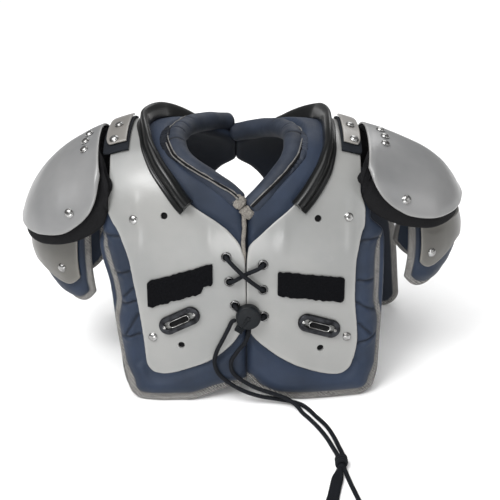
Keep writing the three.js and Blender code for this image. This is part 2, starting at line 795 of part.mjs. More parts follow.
// A point of the cap's outer face: out from its inner end, round from the front rim (-1) over
// the ridge (0) to the back rim (1). Past the rims it runs straight down.
function capFace(side, out, round) {
  const rows = capSections[side];
  const half = capHalfDepth * readTable(rows, 'out', 'half', out);
  const ridge = capCrest - capDrop * readTable(rows, 'out', 'ridge', out);
  const rim = capCrest - capDrop * readTable(rows, 'out', 'rim', out);
  const turn = Math.min(1, Math.abs(round)) * (Math.PI / 2);
  const below = Math.max(0, Math.abs(round) - 1) * capHalfDepth;
  const y = half * Math.sin(turn) * (round < 0 ? -1 : capBackShare);
  const z = rim + (ridge - rim) * Math.cos(turn) - below;
  const bow = capBow[side] * (1 - out) * Math.cos(turn);
  const x = capInner[side] + capReach[side] * out + bow;
  return new THREE.Vector3(side === 'left' ? -x : x, y, z);
}

function onCap(side, out, round, lift) {
  const step = 0.01;
  const along = capFace(side, out + step, round).sub(capFace(side, out - step, round));
  const about = capFace(side, out, round + step).sub(capFace(side, out, round - step));
  const normal = along.cross(about).multiplyScalar(side === 'left' ? -1 : 1).normalize();
  return { point: capFace(side, out, round).addScaledVector(normal, lift), normal };
}

function shoulderCap(side) {
  return wall(capFacets, capRows.length - 1, (u, v, outside) => {
    const out = capRows[Math.round(v * (capRows.length - 1))];
    return onCap(side, out, mix(-1, 1, u), outside ? 0 : -plateThickness).point;
  });
}

// The foam has the cap's own facets, one more row of them past each rim, and ends short of the
// cap's outer end.
function capFoam(side, grow) {
  const top = -plateThickness - curvedSeat + grow;
  const reach = 1 + (foamOverhang + grow) / capHalfDepth;
  const rows = capRows.length - 1;
  return wall(capFacets + 2, rows, (u, v, outside) => {
    const row = Math.round(v * rows);
    const start = row === 0 ? -foamInset.rim : capRows[row - 1];
    const rim = mix(foamCorner, reach, THREE.MathUtils.smoothstep(start, -foamInset.rim, 0.1));
    const step = u * (capFacets + 2) - 1;
    const round = THREE.MathUtils.clamp(mix(-1, 1, step / capFacets), -rim, rim);
    const inset = mix(foamInset.ridge, foamInset.rim, THREE.MathUtils.smoothstep(Math.abs(round), 0.45, 0.8));
    const out = row === 0 ? -inset - grow / capReach[side] : start;
    return onCap(side, out, round, outside ? top : top - foamThickness - 2 * grow).point;
  });
}

function foamLining(side) {
  return surface(largest(solid(capFoam(side, 0)).subtract(solid(shoulderCap(side)))));
}

// Cuts away the foam's room and a little clearance round it.
function clearOfFoam(body, side) {
  const room = solid(capFoam(side, curvedSeat));
  return largest(body.subtract(room).subtract(solid(capFoam(side, 0))));
}

// A strip over the crest, reaching round by a share of the girth to each side of it. Its facets
// meet where the plate's do.
function crestStrip(from, to, round, lift, thickness) {
  const inside = girths.filter((girth) => Math.abs(girth - 1) < round - 0.01);
  const stations = [1 - round, ...inside, 1 + round];
  const rows = stations.length - 1;
  return wall(3, rows, (u, v, outside) => {
    const x = plateWidth * mix(from, to, u);
    return onArch(x, stations[Math.round(v * rows)], lift + outside * thickness);
  });
}

function hingeStrap(side) {
  const { strapFrom, strapTo } = hinges[side];
  return crestStrip(strapFrom, strapTo, strapRound, strapLift, strapThickness);
}

function hingePlate(side) {
  const { from, to } = hinges[side];
  return crestStrip(from, to, hingeRound, hingeLift, hingeThickness);
}

// A point of the arm flap at an angle round the arm, 0 straight out, at height z.
function onFlap(side, angle, z, lift) {
  const level = THREE.MathUtils.clamp((flapTop - z) / (flapTop - flapWaist), 0, 1);
  const spread = mix(flapTopSpread, 1, Math.sin((level * Math.PI) / 2));
  const low = 1 - THREE.MathUtils.clamp((z - flapHems[side].pad) / flapTuckHeight, 0, 1);
  const tuck = 1 - flapTuck * low ** 2;
  const x = flapCentre + (flapReach * spread * tuck + lift) * Math.cos(angle);
  const depth = flapHalfDepth * mix(spread, spread * tuck, 0.15) * (angle < 0 ? 1 : flapBackShare);
  const y = (depth + lift) * Math.sin(angle);
  return new THREE.Vector3(side === 'left' ? -x : x, y, z);
}

function flapLayer(side, spread, rows, low, top, inside, outside) {
  return wall(flapFacets, rows, (u, v, outer) => {
    const about = mix(-1, 1, u);
    const bottom = low + flapCorner * about ** 6;
    return onFlap(side, radians(spread) * about, mix(bottom, top(about), v), outer ? outside : inside);
  });
}

function flapPad(side) {
  const { pad, padSpread } = flapHems[side];
  const layer = flapLayer(side, padSpread, 5, pad, () => flapTop, -flapPadThickness, 0);
  return clearOfFoam(solid(layer), side);
}

function flapPlate(side) {
  const { plate, plateSpread } = flapHems[side];
  const top = (about) =>
    flapTop - flapPlateDrop - flapBackDrop * THREE.MathUtils.smoothstep(about, 0, 0.4);
  const layer = flapLayer(side, plateSpread, 4, plate, top, flapGap, flapGap + plateThickness);
  return largest(clearOfFoam(solid(layer), side).subtract(flapPad(side)));
}

function hookPatch(side) {
  const { left, right, top, tilt, height } = fittings[side].patch;
  return wall(6, 2, (u, v, outside) => {
    const x = mix(left, right, u);
    const middle = (left + right) / 2;
    const z = top + (x - middle) * Math.tan(radians(tilt)) - height * (1 - v);
    const lift = plateOutside + seat + outside * patchThickness;
    return onArch(x, girthAt(x, z, plateOutside), lift);
  });
}

function stadium(length, width, Kind = THREE.Shape) {
  const radius = width / 2;
  const straight = length / 2 - radius;
  const shape = new Kind();
  shape.absarc(straight, 0, radius, -Math.PI / 2, Math.PI / 2);
  shape.absarc(-straight, 0, radius, Math.PI / 2, (3 * Math.PI) / 2);
  return shape;
}

function slab(outer, inner, depth) {
  outer.holes.push(inner);
  return new THREE.ExtrudeGeometry(outer, { depth, curveSegments: 4, bevelEnabled: false });
}

function addFittings(side) {
  const places = fittings[side];
  const seated = plateOutside + seat;
  places.eyelets.forEach((spot, i) => {
    const barrel = eyeletBore + eyeletWall;
    const profile = [
      [eyeletBore, -plateThickness],
      [barrel, -plateThickness],
      [barrel, 2 * seat],
      [eyeletRadius, 2 * seat],
      [eyeletRadius, 2 * seat + eyeletRim * 0.3],
      [(eyeletRadius + eyeletBore) / 2, eyeletRim],
      [eyeletBore, eyeletRim * 0.5],
      [eyeletBore, -plateThickness],
    ];
    const eyelet = turned(profile, 8).applyMatrix4(placeOnChest(spot.x, spot.z, plateOutside));
    add(`eyelet_${side}_${i + 1}`, eyelet, finishes.darkSteel);
  });
  places.rivets.forEach((spot, i) => {
    const head = rivetHead().applyMatrix4(placeOnChest(spot.x, spot.z, seated));
    add(`plate_rivet_${side}_${i + 1}`, head, finishes.steel);
  });
  const { x, z, turn } = places.buckle;
  const place = placeOnChest(x, z, seated + 0.4, turn);
  const plate = slab(
    stadium(buckleLength, buckleWidth),
    stadium(slotLength, slotWidth, THREE.Path),
    buckleThickness,
  );
  add(`buckle_plate_${side}`, plate.applyMatrix4(place), finishes.blackPlastic);
  const rim = slab(
    stadium(slotLength - 2 * seat, slotWidth - 2 * seat),
    stadium(slotLength - 2 * slotRim, slotWidth - 2 * slotRim, THREE.Path),
    buckleThickness + 1,
  );
  add(`buckle_slot_${side}`, rim.applyMatrix4(place), finishes.steel);
}

function addCapRivets(side) {
  capRivets[side].forEach(({ out, round }, i) => {
    const { point, normal } = onCap(side, out, round, seat);
    add(`cap_rivet_${side}_${i + 1}`, standing(rivetHead(), point, normal), finishes.steel);
  });
}

function addHingeRivets(side) {
  const { from, to } = hinges[side];
  const lift = hingeLift + hingeThickness + curvedSeat;
  hingeRivets.forEach(({ girth, across }, i) => {
    const x = plateWidth * mix(from, to, across);
    const head = standing(rivetHead(), onArch(x, girth, lift), archNormal(x, girth));
    add(`hinge_rivet_${side}_${i + 1}`, head, finishes.steel);
  });
}

function addFlapRivet(side) {
  const angle = radians(flapRivet.angle);
  const z = flapHems[side].plate + flapRivet.above;
  const point = onFlap(side, angle, z, flapGap + plateThickness + curvedSeat);
  const normal = onFlap(side, angle, z, 1).sub(onFlap(side, angle, z, 0)).normalize();
  add(`flap_rivet_${side}`, standing(rivetHead(), point, normal), finishes.steel);
}

// The lock rests on the rims of the lowest eyelets. Its own frame has its axis outwards and the
// plunger pointing down.
const lockPlace = placeOnChest(lockX, lockZ, plateOutside + eyeletRim + 2 * seat, -lockTurn);

function lockBody() {
  const profile = [
    [0, 0],
    [lockRadius - 1, 0],
    [lockRadius, 1],
    [lockRadius, lockDepth - lockDome],
    [lockRadius * 0.72, lockDepth - lockDome * 0.25],
    [0, lockDepth],
  ];
  const innerEnd = plungerLength - lockRadius - plungerShow + plungerTravel + 1;
  const depth = lockRadius + innerEnd + plungerShow;
  const bore = new THREE.BoxGeometry(
    plungerWidth + 2 * plungerPlay,
    depth,
    plungerDepth + 2 * plungerPlay,
  );
  bore.translate(0, innerEnd - depth / 2, lockDepth / 2 - 0.5);
  return surface(solid(turned(profile, 16)).subtract(solid(bore)));
}

function lockPlunger() {
  const block = new THREE.BoxGeometry(plungerWidth, plungerLength, plungerDepth);
  return block.translate(0, plungerLength / 2 - lockRadius - plungerShow, lockDepth / 2 - 0.5);
}

// The knot of the two lace ends, with a flat end and a round end beyond it
function laceKnot() {
  const { x, y, z } = knotPlace;
  const profile = [
    [0, -knotLength / 2],
    [knotRadius * 0.7, -knotLength / 2],
    [knotRadius, -knotLength * 0.2],
    [knotRadius, knotLength * 0.2],
    [knotRadius * 0.7, knotLength / 2],
    [0, knotLength / 2],
  ];
  const barrel = new THREE.LatheGeometry(profile.map(([a, b]) => new THREE.Vector2(a, b)), 10);
  barrel.translate(x, y, z);
  const reach = (toX) => {
    const run = new THREE.Vector3(toX - x, knotEnds.to - knotEnds.from, 0);
    const turn = new THREE.Quaternion().setFromUnitVectors(new THREE.Vector3(0, 1, 0), run.clone().normalize());
    const middle = new THREE.Vector3(x, knotEnds.from, knotEnds.height).addScaledVector(run, 0.5);
    return { length: run.length(), turn, middle };
  };
  const place = (geometry, { turn, middle }) =>
    geometry.applyQuaternion(turn).translate(middle.x, middle.y, middle.z);
  const flat = reach(knotEnds.flatX);
  const thin = reach(knotEnds.thinX);
  const ribbon = place(new THREE.BoxGeometry(endWidth, flat.length, endThickness), flat);
  const round = place(new THREE.CylinderGeometry(laceRadius, laceRadius, thin.length, 8), thin);
  return surface(solid(barrel).add(solid(ribbon)).add(solid(round)));
}

// A lace from one eyelet to another, at a height over the plates where the two cross.
function laceStrand(from, to, over) {
  const start = placeOnChest(from.x, from.z, plateOutside);
  const finish = placeOnChest(to.x, to.z, plateOutside);
  const middle = placeOnChest((from.x + to.x) / 2, (from.z + to.z) / 2, plateOutside);
  const at = (place, x, y, z) => new THREE.Vector3(x, y, z).applyMatrix4(place);
  const toward = new THREE.Vector3(to.x - from.x, to.z - from.z, 0).normalize();
  const bend = eyeletRadius * 0.95;
  const rise = laceRadius + eyeletRim + seat;
  const points = [
    at(start, 0, 0, laceEnd),
    at(start, 0, 0, rise * 0.4),
    at(start, toward.x * bend, toward.y * bend, rise + 0.4),
    at(middle, 0, 0, over),
    at(finish, -toward.x * bend, -toward.y * bend, rise + 0.4),
    at(finish, 0, 0, rise * 0.4),
    at(finish, 0, 0, laceEnd),
  ];
  return tube(new THREE.CatmullRomCurve3(points), laceRadius, 8, 10);
}

function laceToLock(from) {
  const start = placeOnChest(from.x, from.z, plateOutside);
  const at = (z) => new THREE.Vector3(0, 0, z).applyMatrix4(start);
  const centre = new THREE.Vector3().setFromMatrixPosition(lockPlace);
  const out = new THREE.Vector3().setFromMatrixColumn(lockPlace, 2);
  const away = at(0).sub(centre);
  away.addScaledVector(out, -away.dot(out)).normalize();
  const beside = (gap, height) =>
    centre.clone().addScaledVector(away, lockRadius + gap).addScaledVector(out, height);
  const points = [at(laceEnd), at(0.2), beside(1.6, lockDepth * 0.42), beside(seat, lockDepth * 0.44)];
  return tube(new THREE.CatmullRomCurve3(points), laceRadius, 8, 6);
}

function laceTail(points) {
  const curve = new THREE.CatmullRomCurve3(points.map(([x, y, z]) => new THREE.Vector3(x, y, z)));
  return tube(curve, laceRadius, 8, Math.round(curve.getLength() / (6 * laceRadius)));
}

for (const side of ['left', 'right']) {
  add(`arch_plate_${side}`, archPlate(side), finishes.plate);
  add(`body_pad_${side}`, bodyPad(side), finishes.navy);
  add(`collar_${side}`, collar(side), finishes.navy);
  add(`neck_trim_${side}`, neckTrim(side), finishes.trim);
  add(`shoulder_cap_${side}`, shoulderCap(side), finishes.cap);
  add(`cap_foam_${side}`, foamLining(side), finishes.foam);
  add(`hinge_strap_${side}`, hingeStrap(side), finishes.foam);
  add(`hinge_plate_${side}`, hingePlate(side), finishes.plate);
  add(`flap_pad_${side}`, surface(flapPad(side)), finishes.navy);
  add(`flap_plate_${side}`, surface(flapPlate(side)), finishes.cap);
  add(`hook_patch_${side}`, hookPatch(side), finishes.hook);
  addFittings(side);
  addCapRivets(side);
  addHingeRivets(side);
  addFlapRivet(side);
}

add('cord_lock_body', lockBody().applyMatrix4(lockPlace), finishes.blackPlastic);
add('cord_lock_plunger', lockPlunger().applyMatrix4(lockPlace), finishes.blackPlastic);

const { left, right } = fittings;
add('lace_cross_upper', laceStrand(left.eyelets[0], right.eyelets[1], laceOver.upper), finishes.lace);
add('lace_cross_lower', laceStrand(right.eyelets[0], left.eyelets[1], laceOver.lower), finishes.lace);
add('lace_to_lock_left', laceToLock(left.eyelets[2]), finishes.lace);
add('lace_to_lock_right', laceToLock(right.eyelets[2]), finishes.lace);

// The free ends, which the origin doesn't count
const free = [
  add('lace_tail_left', laceTail(laceTails.left), finishes.lace),
  add('lace_tail_right', laceTail(laceTails.right), finishes.lace),
  add('lace_knot', laceKnot(), finishes.lace),
];

// The origin is the middle of what stands on the floor.
const box = new THREE.Box3();
for (const mesh of pads.children) if (!free.includes(mesh)) box.expandByObject(mesh);
const middle = box.getCenter(new THREE.Vector3());
pads.position.set(-middle.x, -middle.y, -box.min.z);

export default pads;
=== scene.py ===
import math
import bpy
import numpy as np
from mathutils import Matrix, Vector
from mathutils.kdtree import KDTree


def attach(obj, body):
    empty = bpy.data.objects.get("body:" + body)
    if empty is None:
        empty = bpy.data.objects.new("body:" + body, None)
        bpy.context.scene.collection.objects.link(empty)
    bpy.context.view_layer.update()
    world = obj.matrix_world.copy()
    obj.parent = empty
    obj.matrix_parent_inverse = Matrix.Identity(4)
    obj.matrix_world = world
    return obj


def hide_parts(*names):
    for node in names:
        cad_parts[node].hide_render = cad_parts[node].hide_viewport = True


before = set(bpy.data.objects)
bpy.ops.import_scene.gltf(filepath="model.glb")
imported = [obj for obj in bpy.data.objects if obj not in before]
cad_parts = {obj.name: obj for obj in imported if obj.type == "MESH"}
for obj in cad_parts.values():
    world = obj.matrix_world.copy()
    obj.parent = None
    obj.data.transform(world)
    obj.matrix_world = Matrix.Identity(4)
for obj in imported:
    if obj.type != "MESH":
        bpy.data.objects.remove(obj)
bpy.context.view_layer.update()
mm = 0.001
shift = np.array([3.09, 2.905, 0.0])  # from the middle of the tables below to the part's origin
sides = ("left", "right")
outward = {"left": -1, "right": 1}
print("frame loaded")

camera = {"place": (0.0068, -1.0329, 0.6054), "tilt": 65, "lens": 75.4}


def makeCamera():
    data = bpy.data.cameras.new("camera")
    data.lens = camera["lens"]
    data.sensor_width = 36
    made = bpy.data.objects.new("camera", data)
    made.location = camera["place"]
    made.rotation_euler = (math.radians(camera["tilt"]), 0, 0)
    bpy.context.scene.collection.objects.link(made)
    bpy.context.scene.camera = made


makeCamera()


# small tools for the shapes, all in millimetres
def mix(a, b, t):
    return a + (b - a) * t


def ease(x, low, high):
    t = np.clip((np.asarray(x, float) - low) / (high - low), 0, 1)
    return t * t * (3 - 2 * t)


def dome(t):
    # quarter round: 0 at the edge, 1 from t = 1 on
    return np.sqrt(1 - (1 - np.clip(t, 0, 1)) ** 2)


def hump(x, width):
    return np.exp(-((x / width) ** 2))


def unit(v):
    return v / np.maximum(np.linalg.norm(v, axis=-1, keepdims=True), 1e-9)


def through(rows, column):
    # smooth reading of one column between its rows, without overshoot
    keys = np.array([row[0] for row in rows], float)
    values = np.array([row[column] for row in rows], float)
    slopes = np.diff(values) / np.diff(keys)
    tangents = np.zeros(len(keys))
    tangents[0], tangents[-1] = slopes[0], slopes[-1]
    for i in range(1, len(keys) - 1):
        before, after = slopes[i - 1], slopes[i]
        tangents[i] = 0 if before * after <= 0 else 2 * before * after / (before + after)

    def read(at):
        at = np.clip(np.asarray(at, float), keys[0], keys[-1])
        i = np.clip(np.searchsorted(keys, at, side="right") - 1, 0, len(keys) - 2)
        span = keys[i + 1] - keys[i]
        s = (at - keys[i]) / span
        rest = 1 - s
        ends = values[i] * (1 + 2 * s) * rest**2 + values[i + 1] * s**2 * (3 - 2 * s)
        return ends + span * s * rest * (tangents[i] * rest - tangents[i + 1] * s)

    return read


def smoothPath(points, step):
    # points along a smooth curve through the given ones, evenly spaced
    p = np.array(points, float)
    t = np.concatenate([[0], np.cumsum(np.sqrt(np.linalg.norm(np.diff(p, axis=0), axis=1)))])
    m = np.gradient(p, t, axis=0)
    fine = np.linspace(0, t[-1], len(p) * 60)
    i = np.clip(np.searchsorted(t, fine, side="right") - 1, 0, len(p) - 2)
    h = (t[i + 1] - t[i])[:, None]
    s = ((fine - t[i]) / (t[i + 1] - t[i]))[:, None]
    r = 1 - s
    dense = p[i] * (1 + 2 * s) * r**2 + p[i + 1] * s**2 * (3 - 2 * s) + h * s * r * (m[i] * r - m[i + 1] * s)
    return evenPath(dense, step)


def evenPath(dense, step):
    along = np.concatenate([[0], np.cumsum(np.linalg.norm(np.diff(dense, axis=0), axis=1))])
    want = np.linspace(0, along[-1], max(2, int(round(along[-1] / step)) + 1))
    return np.stack([np.interp(want, along, dense[:, k]) for k in range(3)], axis=1)


def pathLength(path):
    return float(np.linalg.norm(np.diff(path, axis=0), axis=1).sum())


def distanceTo(points, line):
    tree = KDTree(len(line))
    for i, p in enumerate(line):
        tree.insert(p, i)
    tree.balance()
    flat = points.reshape(-1, points.shape[-1])
    return np.array([tree.find(p)[2] for p in flat]).reshape(points.shape[:-1])


def ripple(points, wavelength, seed, waves=7):
    # soft seeded unevenness, about -1 to 1
    rng = np.random.default_rng(seed)
    total = 0
    for _ in range(waves):
        way = unit(rng.normal(size=3)) * 2 * math.pi / (wavelength * rng.uniform(0.6, 1.6))
        total = total + np.sin(points @ way + rng.uniform(0, 2 * math.pi))
    return total / math.sqrt(waves)


def aroundOnce(count):
    return np.linspace(0, 2 * math.pi, count, endpoint=False)


def blunt(t, power):
    # fills the corners out when a circle's sine and cosine go through it
    return np.sign(t) * np.abs(t) ** power


def graded(count, pull=0.75):
    t = np.linspace(0, 1, count)
    return mix(t, 0.5 - 0.5 * np.cos(math.pi * t), pull)


# shader maths
class Wire:
    def __init__(self, finish, out):
        self.finish = finish
        self.out = out

    def maths(self, operation, first, second):
        return self.finish.node("Math", {"operation": operation}, {0: first, 1: second})

    def __add__(self, other):
        return self.maths("ADD", self, other)

    def __sub__(self, other):
        return self.maths("SUBTRACT", self, other)

    def __rsub__(self, other):
        return self.maths("SUBTRACT", other, self)

    def __mul__(self, other):
        return self.maths("MULTIPLY", self, other)

    __radd__ = __add__
    __rmul__ = __mul__


class Finish:
    def __init__(self, name, **constants):
        self.material = bpy.data.materials.new(name)
        self.material.use_nodes = True
        self.tree = self.material.node_tree
        self.shader = self.tree.nodes["Principled BSDF"]
        for socket, value in constants.items():
            self.shader.inputs[socket.replace("_", " ")].default_value = value
        self.place = self.node("TexCoord", out="Object")

    def node(self, kind, settings=None, sockets=None, out=0):
        made = self.tree.nodes.new("ShaderNode" + kind)
        for key, value in (settings or {}).items():
            setattr(made, key, value)
        for key, value in (sockets or {}).items():
            if isinstance(value, Wire):
                self.tree.links.new(value.out, made.inputs[key])
            else:
                made.inputs[key].default_value = value
        return Wire(self, made.outputs[out])

    def feed(self, socket, value):
        self.tree.links.new(value.out, self.shader.inputs[socket])

    def noise(self, scale, detail=3, roughness=0.55, place=None):
        sockets = {"Vector": place or self.place, "Scale": scale, "Detail": detail, "Roughness": roughness}
        return self.node("TexNoise", {}, sockets)

    def stretched(self, x, y, z):
        return self.node("VectorMath", {"operation": "MULTIPLY"}, {0: self.place, 1: (x, y, z)})

    def ramp(self, value, low, high):
        sockets = {"Value": value, "From Min": low, "From Max": high}
        return self.node("MapRange", {"interpolation_type": "SMOOTHSTEP"}, sockets)

    def blend(self, factor, first, second):
        return self.node("Mix", {"data_type": "RGBA"}, {0: factor, 6: first, 7: second}, out=2)

    def sine(self, value):
        return self.node("Math", {"operation": "SINE"}, {0: value})

    def acrossAndUp(self):
        return [self.node("SeparateXYZ", {}, {0: self.place}, out=k) for k in (0, 2)]

    def weave(self, pitch):
        turn = 2 * math.pi / pitch
        x, z = self.acrossAndUp()
        return self.sine(x * turn) * self.sine(z * turn)

    def twill(self, pitch):
        x, z = self.acrossAndUp()
        return self.sine((x + z) * (2 * math.pi / pitch))

    def painted(self, name):
        return self.node("Attribute", {"attribute_name": name}, out="Fac")

    def bump(self, height, distance, strength):
        sockets = {"Height": height, "Distance": distance, "Strength": strength}
        self.feed("Normal", self.node("Bump", {}, sockets))


def rgb(red, green, blue):
    tones = [c / 255 for c in (red, green, blue)]
    return tuple(t / 12.92 if t <= 0.04045 else ((t + 0.055) / 1.055) ** 2.4 for t in tones) + (1.0,)


def mouldedPlastic(name, tone, shade, worn):
    made = Finish(name, Coat_Weight=0.3, Coat_Roughness=0.18, IOR=1.48)
    cloud = made.noise(9, 4)
    colour = made.blend(made.ramp(cloud, 0.3, 0.7), shade, tone)
    colour = made.blend(made.painted("edge") * 0.5, colour, worn)
    scratch = made.ramp(made.noise(60, 5, 0.7, made.stretched(1, 1, 8)), 0.63, 0.8)
    scuff = made.ramp(made.noise(26, 6, 0.75), 0.6, 0.8)
    made.feed("Base Color", made.blend(scratch * 0.14 + scuff * 0.1, colour, worn))
    made.feed("Roughness", 0.3 + made.noise(40, 4) * 0.18 + scratch * 0.15)
    made.bump(made.noise(420, 2) * 0.4 + cloud * 1.2 + scratch * 0.2, 0.0004, 0.3)
    return made.material


def padNylon():
    made = Finish("navy nylon and mesh rim", Sheen_Weight=0.03, Sheen_Roughness=0.45, Specular_IOR_Level=0.25)
    cloud = made.noise(13, 5, 0.6)
    colour = made.blend(made.ramp(cloud, 0.28, 0.72), rgb(20, 29, 42), rgb(32, 43, 61))
    # painted shade: grooves, seams and the inside of the back are darkened to a near-black navy where shade
    # falls
    colour = made.blend(made.painted("painted_shade") * 0.8, colour, rgb(10, 13, 19))
    thread = made.weave(0.0014)
    colour = made.blend(made.ramp(thread, -0.6, 0.9) * 0.18, colour, rgb(60, 71, 92))
    tape = made.painted("tape")
    mesh = made.weave(0.0023)
    twill = made.noise(700, 3, 0.8) + made.twill(0.0036) * 0.08
    tweed = made.blend(made.ramp(twill + mesh * 0.12, 0.34, 0.68), rgb(58, 58, 57), rgb(150, 148, 145))
    made.feed("Base Color", made.blend(tape, colour, tweed))
    made.feed("Roughness", 0.5 + made.noise(60, 4) * 0.2 + tape * 0.3)
    grain = thread * (1 - tape) * 0.12 + (mesh * 0.7 + twill) * tape + made.noise(150, 5, 0.6) * 0.5
    made.bump(grain, 0.0006, 0.55)
    return made.material


def collarNylon():
    made = Finish("quilted navy nylon", Sheen_Weight=0.04, Sheen_Roughness=0.4, Specular_IOR_Level=0.28)
    cloud = made.noise(32, 5, 0.6)
    colour = made.blend(made.ramp(cloud, 0.25, 0.75), rgb(26, 32, 43), rgb(42, 49, 62))
    # painted shade: the stitched creases of the roll are darkened towards near black
    colour = made.blend(made.painted("painted_shade") * 0.9, colour, rgb(6, 7, 10))
    made.feed("Base Color", colour)
    made.feed("Roughness", 0.46 + made.noise(90, 4) * 0.3)
    made.bump(made.weave(0.0014) * 0.15 + made.noise(130, 5, 0.65), 0.0007, 0.5)
    return made.material


def speckled(name, dark, light, roughness, scale, depth, **constants):
    made = Finish(name, **constants)
    grain = made.noise(scale, 4, 0.7)
    wide = made.noise(scale / 14, 3)
    colour = made.blend(made.ramp(grain, 0.3, 0.75), dark, light)
    made.feed("Base Color", made.blend(made.ramp(wide, 0.35, 0.7) * 0.3, colour, light))
    made.feed("Roughness", roughness - 0.1 + wide * 0.2)
    made.bump(grain + wide * 0.8, depth, 0.7)
    return made.material


def plated(name, tone, stain, roughness):
    made = Finish(name, Metallic=1.0)
    cloud = made.noise(160, 4)
    made.feed("Base Color", made.blend(made.ramp(cloud, 0.35, 0.75), tone, stain))
    made.feed("Roughness", roughness + made.noise(300, 3) * 0.16)
    made.bump(made.noise(700, 3), 0.00012, 0.4)
    return made.material


finishes = {
    "plate": mouldedPlastic("chest plate plastic", rgb(137, 137, 135), rgb(124, 125, 124), rgb(168, 167, 164)),
    "cap": mouldedPlastic("cap plastic", rgb(122, 122, 122), rgb(104, 105, 106), rgb(158, 157, 154)),
    "flapPlate": mouldedPlastic("flap plastic", rgb(84, 82, 77), rgb(70, 68, 64), rgb(132, 129, 122)),
    "hinge": mouldedPlastic("hinge plastic", rgb(124, 121, 117), rgb(106, 103, 99), rgb(158, 155, 150)),
    "navy": padNylon(),
    "collar": collarNylon(),
    "foam": speckled("black foam", rgb(10, 10, 11), rgb(22, 22, 24), 0.85, 900, 0.0004,
                     Specular_IOR_Level=0.15),
    "strap": speckled("hinge strap cloth", rgb(15, 17, 21), rgb(30, 34, 40), 0.85, 700, 0.0004,
                      Specular_IOR_Level=0.2),
    "trim": speckled("black moulding", rgb(7, 8, 8), rgb(16, 17, 18), 0.32, 380, 0.00012,
                     Specular_IOR_Level=0.2, Coat_Weight=0.15, Coat_Roughness=0.1),
    "hook": speckled("hook pile", rgb(3, 3, 5), rgb(12, 13, 16), 0.95, 1500, 0.0012, Specular_IOR_Level=0.1),
    "mesh": speckled("ruched mesh", rgb(5, 6, 9), rgb(30, 34, 43), 0.6, 1300, 0.0008, Specular_IOR_Level=0.15),
    "blackPlastic": speckled("black plastic", rgb(9, 11, 13), rgb(20, 24, 28), 0.42, 600, 0.00012,
                             Specular_IOR_Level=0.15),
    "piping": speckled("gray piping", rgb(76, 76, 75), rgb(124, 122, 119), 0.8, 900, 0.0005),
    "tab": speckled("beige cloth", rgb(84, 81, 76), rgb(136, 131, 124), 0.85, 800, 0.0006),
    "steel": plated("nickel", rgb(172, 172, 171), rgb(104, 102, 100), 0.16),
    "darkSteel": plated("gunmetal", rgb(56, 57, 60), rgb(28, 28, 30), 0.28),
    "ring": plated("worn nickel", rgb(112, 112, 112), rgb(50, 49, 49), 0.2),
    "lace": speckled("black lace", rgb(5, 6, 9), rgb(17, 20, 26), 0.8, 1400, 0.0005, Specular_IOR_Level=0.2),
}
print("finishes made")


# meshes from grids of points
def makePiece(name, points, faces, finish, body="pads", marks=None, smooth=True):
    mesh = bpy.data.meshes.new(name)
    place = (np.asarray(points, float) + shift) * mm
    mesh.from_pydata([tuple(p) for p in place], [], [tuple(int(i) for i in f) for f in faces])
    for key, values in (marks or {}).items():
        layer = mesh.attributes.new(key, "FLOAT", "POINT")
        layer.data.foreach_set("value", np.asarray(values, np.float32).ravel())
    mesh.validate()
    mesh.update()
    if smooth:
        mesh.shade_smooth()
    mesh.materials.append(finishes[finish])
    made = bpy.data.objects.new(name, mesh)
    bpy.context.scene.collection.objects.link(made)
    if body:
        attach(made, body)
    return made


def facingOut(points, faces):
    # turns the faces round where they point in
    volume = 0
    for face in faces:
        a, b, c = points[face[0]], points[face[1]], points[face[2]]
        volume += float(np.dot(a, np.cross(b, c)))
        if len(face) == 4:
            volume += float(np.dot(a, np.cross(c, points[face[3]])))
    return [tuple(reversed(face)) for face in faces] if volume < 0 else faces


def gridFaces(ids, closedAcross=False):
    nextColumn = np.roll(ids, -1, axis=1) if closedAcross else ids[:, 1:]
    thisColumn = ids if closedAcross else ids[:, :-1]
    quads = np.stack([thisColumn[:-1], nextColumn[:-1], nextColumn[1:], thisColumn[1:]], axis=-1)
    return [tuple(q) for q in quads.reshape(-1, 4)]


def twoSkins(name, front, back, finish, marks=None):
    # a sheet with thickness: two grids that share their border
    rows, columns = front.shape[:2]
    ids = np.arange(rows * columns).reshape(rows, columns)
    under = ids.copy()
    inner = (slice(1, -1), slice(1, -1))
    count = (rows - 2) * (columns - 2)
    under[inner] = rows * columns + np.arange(count).reshape(rows - 2, columns - 2)
    points = np.concatenate([front.reshape(-1, 3), back[inner].reshape(-1, 3)])
    faces = gridFaces(ids) + [tuple(reversed(f)) for f in gridFaces(under)]
    painted = {}
    for key, value in (marks or {}).items():
        top, low = value if isinstance(value, tuple) else (value, value)
        painted[key] = np.concatenate([top.ravel(), low[inner].ravel()])
    return makePiece(name, points, facingOut(points, faces), finish, marks=painted)


def loft(name, rings, finish, body="pads", marks=None):
    # closed rings of points along a run, with its ends closed
    rings = np.asarray(rings, float)
    steps, around = rings.shape[:2]
    ids = np.arange(steps * around).reshape(steps, around)
    points = rings.reshape(-1, 3)
    faces = gridFaces(ids, closedAcross=True)
    painted = {key: np.asarray(value).ravel() for key, value in (marks or {}).items()}
    ends = np.stack([rings[0].mean(axis=0), rings[-1].mean(axis=0)])
    first, last = len(points), len(points) + 1
    points = np.concatenate([points, ends])
    for k in range(around):
        after = (k + 1) % around
        faces.append((first, ids[0, after], ids[0, k]))
        faces.append((last, ids[-1, k], ids[-1, after]))
    painted = {key: np.append(value, [value[0], value[-1]]) for key, value in painted.items()}
    return makePiece(name, points, facingOut(points, faces), finish, body, painted)


